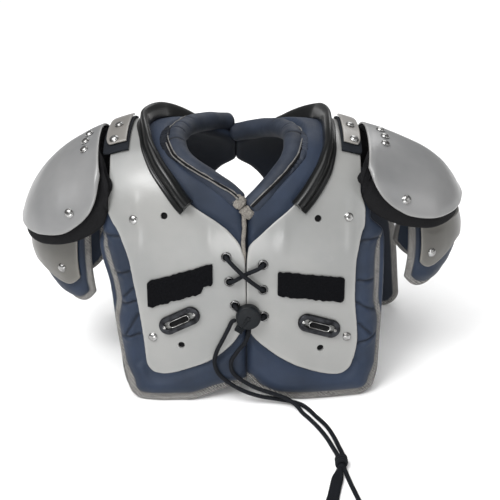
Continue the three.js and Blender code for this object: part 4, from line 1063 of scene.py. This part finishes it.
def neckTrim(side):
    outline = rounded([
        (-trim["lip"], -plates["thick"]), (-trim["gap"], -plates["thick"]), (-trim["gap"], 0.7),
        (trim["flange"], 0.7),
        (trim["flange"], trim["flangeThick"]), (trim["bead"] + 2.4, trim["flangeThick"] + 0.5),
        (trim["bead"] + 0.9, trim["flangeThick"] - 0.3), (trim["bead"] - 0.3, trim["flangeThick"] + 2.4),
        (trim["bead"] - 1.2, trim["beadHeight"] * 0.66), (trim["bead"] * 0.62, trim["beadHeight"]),
        (trim["bead"] * 0.05, trim["beadHeight"] * 1.02), (-trim["lip"] * 0.8, trim["beadHeight"] * 0.7),
        (-trim["lip"], trim["beadHeight"] * 0.4),
    ], 2)
    inner = through(plateEdges[side], 1)
    girth = np.linspace(trim["from"], trim["to"], trim["steps"])

    def edge(g):
        return onArch(inner(g) * arch["plateWidth"], g, np.full(g.shape, lifts["plate"]))

    origin = edge(girth)
    along = unit(edge(girth + 0.01) - edge(girth - 0.01))
    up = archNormal(origin[:, 0], girth)
    over = unit(np.cross(up, along)) * -outward[side]
    square = np.cross(along, over) * -outward[side]
    over = over * mix(1, trim["crest"], ease(girth, 0.7, 0.88))[:, None]
    points = origin[:, None] + outline[None, :, :1] * over[:, None] + outline[None, :, 1:] * square[:, None]
    made = loft(f"neck_edge_{side}", points, "trim")
    made.data.set_sharp_from_angle(angle=math.radians(55))
    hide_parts(f"neck_trim_{side}")


for side in sides:
    neckTrim(side)
print("neck trim swept")

# caps: out along the cap, half depth, ridge and rim drops
capSections = {
    "left": [
        (0, .85, .05, .3), (.04, .97, .055, .49), (.12, 1, .08, .65), (.25, 1, .14, .78), (.43, .99, .235, .88),
        (.65, .9, .395, .92), (.85, .68, .61, .94), (.94, .48, .76, .94), (1, .2, .925, .935),
    ],
    "right": [
        (0, .85, .05, .22), (.06, .98, .055, .36), (.15, 1, .075, .5), (.27, 1, .12, .61), (.42, .99, .185, .69),
        (.62, .93, .285, .73), (.8, .75, .42, .74), (.92, .52, .565, .735), (1, .2, .705, .715),
    ],
}
caps = {
    "crest": 268, "halfDepth": 88, "drop": 100, "backShare": 0.62, "reach": {"left": 93, "right": 107},
    "inner": {"left": 143, "right": 119}, "bow": {"left": 6, "right": 4}, "thick": 2.7,
    "foamTop": -3.4, "foamThick": 7, "overhang": 12.5, "insetRidge": 0.02, "insetRim": 0.02, "foamBulge": 14,
    "rivets": {
        "left": [(.14, -.08), (.17, -.18), (.17, -.29), (.33, -.83)],
        "right": [(.15, -.02), (.18, -.13), (.17, -.25), (.35, -.82)],
    },
}


def capFace(side, out, around):
    rows = capSections[side]
    half = caps["halfDepth"] * through(rows, 1)(out)
    ridge = caps["crest"] - caps["drop"] * through(rows, 2)(out)
    rim = caps["crest"] - caps["drop"] * through(rows, 3)(out)
    turn = np.minimum(1, np.abs(around)) * math.pi / 2
    below = np.maximum(0, np.abs(around) - 1) * caps["halfDepth"]
    y = half * np.sin(turn) * np.where(around < 0, -1, caps["backShare"])
    z = rim + (ridge - rim) * np.cos(turn) - below
    x = caps["inner"][side] + caps["reach"][side] * out + caps["bow"][side] * (1 - out) * np.cos(turn)
    return np.stack(np.broadcast_arrays(outward[side] * x, y, z), axis=-1)


def capNormal(side, out, around):
    step = 0.01
    along = capFace(side, out + step, around) - capFace(side, out - step, around)
    about = capFace(side, out, around + step) - capFace(side, out, around - step)
    return unit(np.cross(along, about)) * outward[side]


def shoulderCap(side):
    out = graded(66)[:, None]
    around = mix(-1, 1, graded(90))[None, :]
    out, around = np.broadcast_arrays(out, around)
    normal = capNormal(side, out, around)
    half = caps["thick"] / 2
    middle = capFace(side, out, around) - normal * half
    gap = distanceTo(middle, border(middle))
    thick = half * dome(gap / half)
    # the rim turns up a little, as the moulding does
    flare = 0.9 * hump(gap - 1.2, 2.4)
    front = middle + normal * (thick + flare * 0.5)[..., None]
    back = middle - normal * (thick - flare * 0.5)[..., None]
    made = twoSkins(f"cap_{side}", front, back, "cap", {"edge": np.exp(-gap / 1.6)})
    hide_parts(f"shoulder_cap_{side}")


def capFoam(side):
    reach = 1 + caps["overhang"] / caps["halfDepth"]
    around = (graded(110) * 2 - 1)[None, :] * reach
    # it stands out from under the cap's inner edge in front and behind
    start = mix(caps["insetRidge"], -caps["insetRim"], ease(np.abs(around), 0.3, 0.75))
    start = start + 0.08 * (1 - dome((reach - np.abs(around)) / 0.16))
    out = mix(start, 0.965, graded(60)[:, None])
    out, around = np.broadcast_arrays(out, around)
    normal = capNormal(side, np.maximum(out, 0.0), around)
    skin = capFace(side, out, around)
    bulge = caps["foamBulge"] * ease(np.abs(around), 0.35, 0.85) * ease(out, -0.03, 0.06)
    bulge = bulge * (1 - ease(out, 0.12, 0.6))
    skin = skin - bulge[..., None] * np.array([outward[side], 0.0, 0.0])
    half = caps["foamThick"] / 2
    middle = skin + normal * (caps["foamTop"] - half)
    gap = distanceTo(middle, border(middle))
    thick = half * dome(gap / 3.2) ** 0.8 + 0.12 * ripple(middle, 16, 8) * ease(gap, 1, 6)
    front, back = middle + normal * thick[..., None], middle - normal * thick[..., None]
    made = twoSkins(f"cap_lining_{side}", front, back, "foam")
    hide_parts(f"cap_foam_{side}")


for side in sides:
    shoulderCap(side)
    capFoam(side)
print("caps shaped")

hinges = {
    "left": {"plate": (-1.14, -1.33), "strap": (-1.125, -1.36)},
    "right": {"plate": (.915, 1.07), "strap": (.9, 1.085)},
    "strapRound": 0.18, "plateRound": 0.15, "strapThick": 2.5, "plateThick": 2.5,
    "rivets": [(.868, .56), (.968, .45)],
}


def crestStrip(name, span, reach, lift, thick, finish, corner, bow, soft=0.0):
    about = graded(60)[:, None] * 2 - 1
    share = graded(30)[None, :]
    # the far end is bowed and its corners are round
    tuck = 1 - dome((1 - np.abs(about)) / corner)
    far = 1 - 0.22 * tuck - bow * about**2
    x = arch["plateWidth"] * mix(span[0], span[1], share * far)
    girth = np.broadcast_to(1 + reach * about, x.shape)
    half = thick / 2
    middle = onArch(x, girth, np.full(x.shape, lift + half))
    gap = distanceTo(middle, border(middle, 0.3))
    normal = archNormal(x, girth)
    thickness = half * dome(gap / half) + soft * 0.15 * ripple(middle, 9, 4)
    front, back = middle + normal * thickness[..., None], middle - normal * thickness[..., None]
    return twoSkins(name, front, back, finish, {"edge": np.exp(-gap / 1.6)})


for side in sides:
    made = crestStrip(f"hinge_cloth_{side}", hinges[side]["strap"], hinges["strapRound"], lifts["strap"],
                      hinges["strapThick"], "strap", 0.08, 0.0, 1.0)
    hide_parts(f"hinge_strap_{side}")
    made = crestStrip(f"hinge_shell_{side}", hinges[side]["plate"], hinges["plateRound"], lifts["hinge"],
                      hinges["plateThick"], "hinge", 0.3, 0.05)
    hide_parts(f"hinge_plate_{side}")
print("hinges laid")

flaps = {
    "centre": 150, "reach": 78, "halfDepth": 62, "backShare": 0.78, "gap": 1.4, "top": 196, "waist": 130,
    "topSpread": 0.86, "tuckHeight": 60, "corner": 17, "plateDrop": 20, "backDrop": 16,
    "padThick": 10, "plateThick": 2.7, "rivet": (-59, 26),
    "left": {"pad": 83, "plate": 103, "padSpread": 82, "plateSpread": 73, "tuck": 0.4, "tongue": 20},
    "right": {"pad": 100, "plate": 120, "padSpread": 76, "plateSpread": 68, "tuck": 0.28, "tongue": 29},
}


def onFlap(side, angle, z, lift):
    level = np.clip((flaps["top"] - z) / (flaps["top"] - flaps["waist"]), 0, 1)
    spread = mix(flaps["topSpread"], 1, np.sin(level * math.pi / 2))
    low = 1 - np.clip((z - flaps[side]["pad"]) / flaps["tuckHeight"], 0, 1)
    tuck = 1 - flaps[side]["tuck"] * low**2
    x = flaps["centre"] + (flaps["reach"] * spread * tuck + lift) * np.cos(angle)
    depth = flaps["halfDepth"] * mix(spread, spread * tuck, 0.15) * np.where(angle < 0, 1, flaps["backShare"])
    y = (depth + lift) * np.sin(angle)
    return np.stack(np.broadcast_arrays(outward[side] * x, y, z), axis=-1)


def flapGrid(side, spread, low, top, rows, columns):
    about = graded(columns)[None, :] * 2 - 1
    level = graded(rows)[:, None]
    bottom = low + flaps["corner"] * about**6
    z = mix(bottom, top(about), level)
    angle = np.radians(spread) * np.broadcast_to(about, z.shape)
    return angle, z


def flapPad(side):
    def top(about):
        return flaps["top"] + 0 * about

    angle, z = flapGrid(side, flaps[side]["padSpread"], flaps[side]["pad"], top, 64, 90)
    half = flaps["padThick"] / 2
    middle = onFlap(side, angle, z, -half)
    out = unit(onFlap(side, angle, z, 1.0) - onFlap(side, angle, z, 0.0))
    gap = distanceTo(middle, border(middle))
    rim = 6.0
    bulge = dome((gap - rim) / 8)
    thick = 2.6 * dome(gap / 2.6) + (half - 2.6) * bulge - 0.5 * hump(gap - rim, 0.9)
    covered = ease(z, flaps[side]["plate"] - 4, flaps[side]["plate"] + 8)
    covered = covered * (np.abs(angle) < math.radians(flaps[side]["plateSpread"]))
    puff = (1 - covered) * (0.8 * ripple(middle, 30, 14) + 1.2) * ease(gap, rim, rim + 10)
    front = middle + out * (thick + puff)[..., None]
    back = middle - out * (half * dome(gap / 5))[..., None]
    tape = ease(gap, rim + 0.4, rim - 0.4)
    # painted shade: darkened along the groove inside the rim tape
    marks = {"tape": (tape, tape), "painted_shade": 0.5 * hump(gap - rim, 1.0)}
    made = twoSkins(f"flap_cloth_{side}", front, back, "navy", marks)
    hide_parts(f"flap_pad_{side}")


def flapPlate(side):
    def top(about):
        return flaps["top"] - flaps["plateDrop"] - flaps["backDrop"] * ease(about, 0, 0.4)

    angle, z = flapGrid(side, flaps[side]["plateSpread"], flaps[side]["plate"], top, 60, 84)
    # a round tongue about the rivet in front
    high = flaps["top"] - flaps["plateDrop"]
    z = z + flaps[side]["tongue"] * ease(angle, -1.15, -0.4) * (1 - ease(z, flaps[side]["plate"], high))
    half = flaps["plateThick"] / 2
    lift = flaps["gap"] + half
    middle = onFlap(side, angle, z, lift)
    out = unit(onFlap(side, angle, z, 5.0) - onFlap(side, angle, z, 0.0))
    gap = distanceTo(middle, border(middle))
    thick = half * dome(gap / half)
    flute = 0.7 * np.cos(np.degrees(angle) / 9) * ease(gap, 3, 12)
    front = middle + out * (thick + np.maximum(flute, 0))[..., None]
    back = middle - out * (thick - np.maximum(flute, 0) * 0.5)[..., None]
    made = twoSkins(f"flap_shell_{side}", front, back, "flapPlate", {"edge": np.exp(-gap / 1.6)})
    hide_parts(f"flap_plate_{side}")


for side in sides:
    flapPad(side)
    flapPlate(side)
print("arm flaps shaped")

patchThick = 2.2


def hookPatch(side):
    spot = fittings[side]["patch"]
    seed = 41 if side == "left" else 47
    u = graded(96)[None, :]
    v = graded(44)[:, None]
    x = mix(spot["left"], spot["right"], u) + 0 * v
    middle = (spot["left"] + spot["right"]) / 2
    top = spot["top"] + (x - middle) * math.tan(math.radians(spot["tilt"]))
    flatX = np.stack([x[0], np.zeros_like(x[0]), np.zeros_like(x[0])], axis=-1)
    ragTop, ragLow = 0.45 * ripple(flatX, 5, seed), 0.7 * ripple(flatX, 7, seed + 1)
    # clipped corners, the low inner one of the left patch cut off further
    cornerCut = 3.0 * (1 - dome(u[0] / 0.05)) + 3.0 * (1 - dome((1 - u[0]) / 0.05))
    notch = 5.5 * ease(x[0] * outward[side], 44, 40) if side == "left" else 0 * x[0]
    zTop = top + ragTop - cornerCut
    zLow = top - spot["height"] + ragLow + cornerCut + notch
    z = mix(zLow, zTop, v)
    girth = girthAt(x, z, np.full(x.shape, lifts["plate"]))
    half = patchThick / 2
    center = onArch(x, girth, np.full(x.shape, lifts["plate"] + 0.3 + half))
    normal = archNormal(x, girth)
    gap = distanceTo(center, border(center, 0.3))
    thick = half * dome(gap / 0.9)
    pile = 0.22 * ripple(center, 2.2, seed + 3, 12) * ease(gap, 0.2, 1.2)
    front = center + normal * (thick + pile)[..., None]
    made = twoSkins(f"hook_pile_{side}", front, center - normal * thick[..., None], "hook")
    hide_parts(f"hook_patch_{side}")


for side in sides:
    hookPatch(side)
print("patches laid")

buckle = {"length": 45, "width": 19, "thick": 3.4, "slot": (24, 8), "rim": 2.2, "seat": 0.7}


def stadium(length, width, count=72):
    radius, straight = width / 2, length / 2 - width / 2
    angle = np.linspace(-math.pi / 2, 1.5 * math.pi, count, endpoint=False)
    x = radius * np.cos(angle) + np.where(np.cos(angle) >= 0, straight, -straight)
    return np.stack([x, radius * np.sin(angle)], axis=-1)


def stadiumRing(name, length, width, profile, place, finish):
    # a closed profile of (how far in from the edge, height) carried round a stadium
    rings = []
    for inward, height in list(profile) + [profile[0]]:
        flat = stadium(length - 2 * inward, width - 2 * inward)
        rings.append(fromPlace(place, flat[:, :1], flat[:, 1:], np.full((len(flat), 1), height)))
    rings = np.array(rings)
    ids = np.arange((len(rings) - 1) * rings.shape[1]).reshape(len(rings) - 1, -1)
    ids = np.concatenate([ids, ids[:1]])
    points = rings[:-1].reshape(-1, 3)
    return makePiece(name, points, facingOut(points, gridFaces(ids, closedAcross=True)), finish)


def buckles(side):
    x, z, turn = fittings[side]["buckle"]
    place = chestPlace(x, z, lifts["plate"] + buckle["seat"], turn)
    thick, slotWide = buckle["thick"], (buckle["width"] - buckle["slot"][1]) / 2
    profile = [(0, 0), (0, thick - .9), (.15, thick - .4), (.5, thick - .08), (1, thick), (slotWide - .8, thick),
               (slotWide - .3, thick - .15), (slotWide, thick - .6), (slotWide, 0)]
    made = stadiumRing(f"buckle_base_{side}", buckle["length"], buckle["width"], profile, place, "darkSteel")
    made.data.set_sharp_from_angle(angle=math.radians(40))
    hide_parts(f"buckle_plate_{side}")
    high, rim = thick + 0.6, buckle["rim"]
    profile = [(.3, 0), (.3, high - .3), (.5, high - .05), (.8, high), (1.1, high - .25), (1.3, high - 1.2),
               (1.6, 0.9), (rim, 0.5), (rim, 0)]
    made = stadiumRing(f"buckle_mouth_{side}", *buckle["slot"], profile, place, "steel")
    flat = stadium(*np.array(buckle["slot"]) - 2.4)
    points = fromPlace(place, flat[:, :1], flat[:, 1:], np.full((len(flat), 1), 1.2))
    makePiece(f"buckle_depth_{side}", points, [tuple(range(len(flat)))], "foam", smooth=False)
    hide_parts(f"buckle_slot_{side}")
    for k, offset in enumerate((-1, 1)):
        spot = fromPlace(place, offset * (buckle["length"] / 2 - 5.3), 0, thick - 0.1)
        head = [(1.7, -0.4), (1.7, .1), (1.45, .45), (.9, .7), (.4, .78), (.12, .8)]
        lathe(f"buckle_pin_{side}_{k + 1}", head, (spot, *place[1:]), "steel", 24)


rivet = {"radius": 4.75, "height": 2.8}
eyelet = {"radius": 5.3, "bore": 3.0, "wall": 0.7, "seat": 0.6}


def rivetHead(name, place, replaced):
    r, h = rivet["radius"], rivet["height"]
    turns = np.linspace(0.06, 1, 14)
    cap = []
    for t in turns:
        cap.append((r * 0.92 * math.cos(t * math.pi / 2 * 0.97), h * (0.2 + 0.8 * math.sin(t * math.pi / 2))))
    profile = [(r * 0.9, 0), (r, .08), (r, .38), (r * .95, .52)] + cap
    made = lathe(name, profile, place, "steel", 40)
    made.data.set_sharp_from_angle(angle=math.radians(50))
    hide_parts(replaced)


def eyeletRing(side, i, spot):
    place = chestPlace(*spot, lifts["plate"])
    bore, r, seat, wall = eyelet["bore"], eyelet["radius"], eyelet["seat"], eyelet["wall"]
    roll = np.linspace(0, math.pi, 11)
    middle, half = (r + bore) / 2, (r - bore) / 2
    top = [(middle + half * math.cos(t), seat + 0.15 + 1.05 * math.sin(t)) for t in roll]
    foot = -plates["thick"]
    profile = [(bore + wall, foot), (bore + wall, .0), (r - .2, seat - .5)] + top
    profile += [(bore, -.5), (bore, foot)]
    rings = np.array(profile)
    angle = aroundOnce(40)[None, :]
    origin, right, up, out = place
    across = rings[:, :1, None] * (np.cos(angle)[..., None] * right + np.sin(angle)[..., None] * up)
    points = origin + across + rings[:, 1][:, None, None] * out
    ids = np.arange(points.shape[0] * points.shape[1]).reshape(points.shape[:2])
    ids = np.concatenate([ids, ids[:1]])
    flat = points.reshape(-1, 3)
    faces = facingOut(flat, gridFaces(ids, closedAcross=True))
    made = makePiece(f"eyelet_ring_{side}_{i}", flat, faces, "ring")
    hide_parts(f"eyelet_{side}_{i}")


def fastenings(side):
    for i, spot in enumerate(fittings[side]["eyelets"], 1):
        eyeletRing(side, i, spot)
    for i, spot in enumerate(fittings[side]["holes"], 1):
        disc = [(5.5, -0.1), (5.5, 0.25), (4, 0.32), (0.3, 0.32)]
        lathe(f"hole_backing_{side}_{i}", disc, chestPlace(*spot, lifts["pad"] + 0.2), "foam", 24)
    for i, spot in enumerate(fittings[side]["rivets"], 1):
        place = chestPlace(*spot, lifts["plate"] + lifts["rivet"])
        rivetHead(f"plate_stud_{side}_{i}", place, f"plate_rivet_{side}_{i}")
    for i, (out, around) in enumerate(caps["rivets"][side], 1):
        out, around = np.array(out), np.array(around)
        normal = capNormal(side, out, around)
        place = standingPlace(capFace(side, out, around) + normal * lifts["rivet"], normal)
        rivetHead(f"cap_stud_{side}_{i}", place, f"cap_rivet_{side}_{i}")
    for i, (girth, across) in enumerate(hinges["rivets"], 1):
        x = np.array(arch["plateWidth"] * mix(*hinges[side]["plate"], across))
        lift = lifts["hinge"] + hinges["plateThick"] + 0.5
        normal = archNormal(x, girth)
        place = standingPlace(onArch(x, np.array(girth), lift), normal)
        rivetHead(f"hinge_stud_{side}_{i}", place, f"hinge_rivet_{side}_{i}")
    angle, above = flaps["rivet"]
    angle, z = np.array(math.radians(angle)), np.array(flaps[side]["plate"] + above)
    point = onFlap(side, angle, z, flaps["gap"] + flaps["plateThick"] + 0.7)
    normal = unit(onFlap(side, angle, z, 1.0) - onFlap(side, angle, z, 0.0))
    rivetHead(f"flap_stud_{side}", standingPlace(point, normal), f"flap_rivet_{side}")


for side in sides:
    buckles(side)
    fastenings(side)
print("buckles, rivets and eyelets set")

lock = {"x": 2, "z": 103, "turn": -33, "seat": 2.4, "radius": 12.5, "depth": 11}
plunger = {"width": 9, "length": 17, "depth": 5.6, "show": 7, "ribs": 4}
lockPlace = chestPlace(lock["x"], lock["z"], lifts["plate"] + lock["seat"], lock["turn"])


def lockBody():
    # a round body with a groove from its middle to the plunger's side
    radius = np.concatenate([np.linspace(0.3, 10.6, 44), [11.2, 11.7, 12.05, 12.3, 12.45, 12.5]])
    around = 128
    angle = aroundOnce(around)
    r, a = np.meshgrid(radius, angle, indexing="ij")
    x, y = r * np.cos(a), r * np.sin(a)
    full = lock["radius"]
    top = lock["depth"] - 0.9 * (r / full) ** 2 - 1.7 * (1 - dome((full - r) / 2.2))
    groove = ease(np.abs(x), 1.5, 1.0) * ease(y, 1.6, 1.1) * ease(y, -11.2, -10.6)
    fromMiddle = np.maximum(np.abs(x), np.abs(y))
    square = ease(fromMiddle, 2.3, 1.9)
    top = top - 0.9 * groove * (1 - square) - 0.55 * square + 0.7 * ease(fromMiddle, 1.5, 1.2)
    rings = [fromPlace(lockPlace, x[i][:, None], y[i][:, None], top[i][:, None]) for i in range(len(radius))]
    for drop, size in ((7.4, 12.5), (4, 12.5), (1.2, 12.5), (.5, 12.2), (.1, 11.6), (0, 10.5)):
        flat = np.stack([size * np.cos(angle), size * np.sin(angle)], axis=1)
        rings.append(fromPlace(lockPlace, flat[:, :1], flat[:, 1:], np.full((around, 1), drop)))
    made = loft("lock_disc", rings, "blackPlastic")
    made.data.set_sharp_from_angle(angle=math.radians(60))
    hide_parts("cord_lock_body")


def lockPlunger():
    # a square push button with grip ribs on its face, seen below the disc
    long, wide, deep = plunger["length"], plunger["width"] / 2, plunger["depth"] / 2
    along = np.linspace(0, long, 90)
    angle = aroundOnce(48)[None, :]
    shownPart = ease(along, plunger["show"] + 1, plunger["show"] - 1)
    ribs = shownPart * 0.35 * np.maximum(np.sin(along / plunger["show"] * plunger["ribs"] * 2 * math.pi), -0.6)
    end = dome(np.minimum(along, long - along) / 0.8)
    half = np.stack([(wide - 0.15) * mix(0.92, 1, end), (deep - 0.4 + ribs) * mix(0.85, 1, end)], axis=1)
    x = blunt(np.cos(angle), 0.28) * half[:, :1]
    z = blunt(np.sin(angle), 0.28) * half[:, 1:] + lock["depth"] / 2 - 0.5
    y = (along - lock["radius"] - plunger["show"])[:, None] * np.ones_like(angle)
    points = fromPlace(lockPlace, x[..., None], y[..., None], z[..., None])
    made = loft("lock_push", points, "blackPlastic", "lock_button")
    made.data.set_sharp_from_angle(angle=math.radians(50))
    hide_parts("cord_lock_plunger")


lockBody()
lockPlunger()
print("lace lock made")

laces = {"over": {"upper": 7.8, "lower": 2.9}, "end": -2.5, "rise": 4.55}


def strandPoints(first, last, over):
    start, finish = chestPlace(*first, lifts["plate"]), chestPlace(*last, lifts["plate"])
    middle = chestPlace((first[0] + last[0]) / 2, (first[1] + last[1]) / 2, lifts["plate"])
    toward = unit(np.array([last[0] - first[0], last[1] - first[1], 0.0]))
    bend, rise = eyelet["radius"] * 0.95, laces["rise"]
    return [
        fromPlace(start, 0, 0, laces["end"]), fromPlace(start, 0, 0, rise * 0.4),
        fromPlace(start, toward[0] * bend, toward[1] * bend, rise + 0.4), fromPlace(middle, 0, 0, over),
        fromPlace(finish, -toward[0] * bend, -toward[1] * bend, rise + 0.4),
        fromPlace(finish, 0, 0, rise * 0.4), fromPlace(finish, 0, 0, laces["end"]),
    ]


def runToLock(spot):
    start = chestPlace(*spot, lifts["plate"])
    centre, out = lockPlace[0], lockPlace[3]
    away = start[0] - centre
    away = unit(away - out * away.dot(out))
    return [
        fromPlace(start, 0, 0, laces["end"]), fromPlace(start, 0, 0, 0.2),
        centre + away * (lock["radius"] + 1.6) + out * lock["depth"] * 0.42,
        centre + away * (lock["radius"] - 0.6) + out * lock["depth"] * 0.44,
    ]


def makeLaces():
    left, right = fittings["left"]["eyelets"], fittings["right"]["eyelets"]
    runs = {
        "lace_cross_upper": strandPoints(left[0], right[1], laces["over"]["upper"]),
        "lace_cross_lower": strandPoints(right[0], left[1], laces["over"]["lower"]),
        "lace_to_lock_left": runToLock(left[2]),
        "lace_to_lock_right": runToLock(right[2]),
    }
    for node, points in runs.items():
        path = smoothPath(points, 0.5)
        made = loft(node.replace("lace", "braid"), tubeRings(path, braid(path, laceRadius), 24), "lace")
        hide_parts(node)


makeLaces()
print("laces threaded")
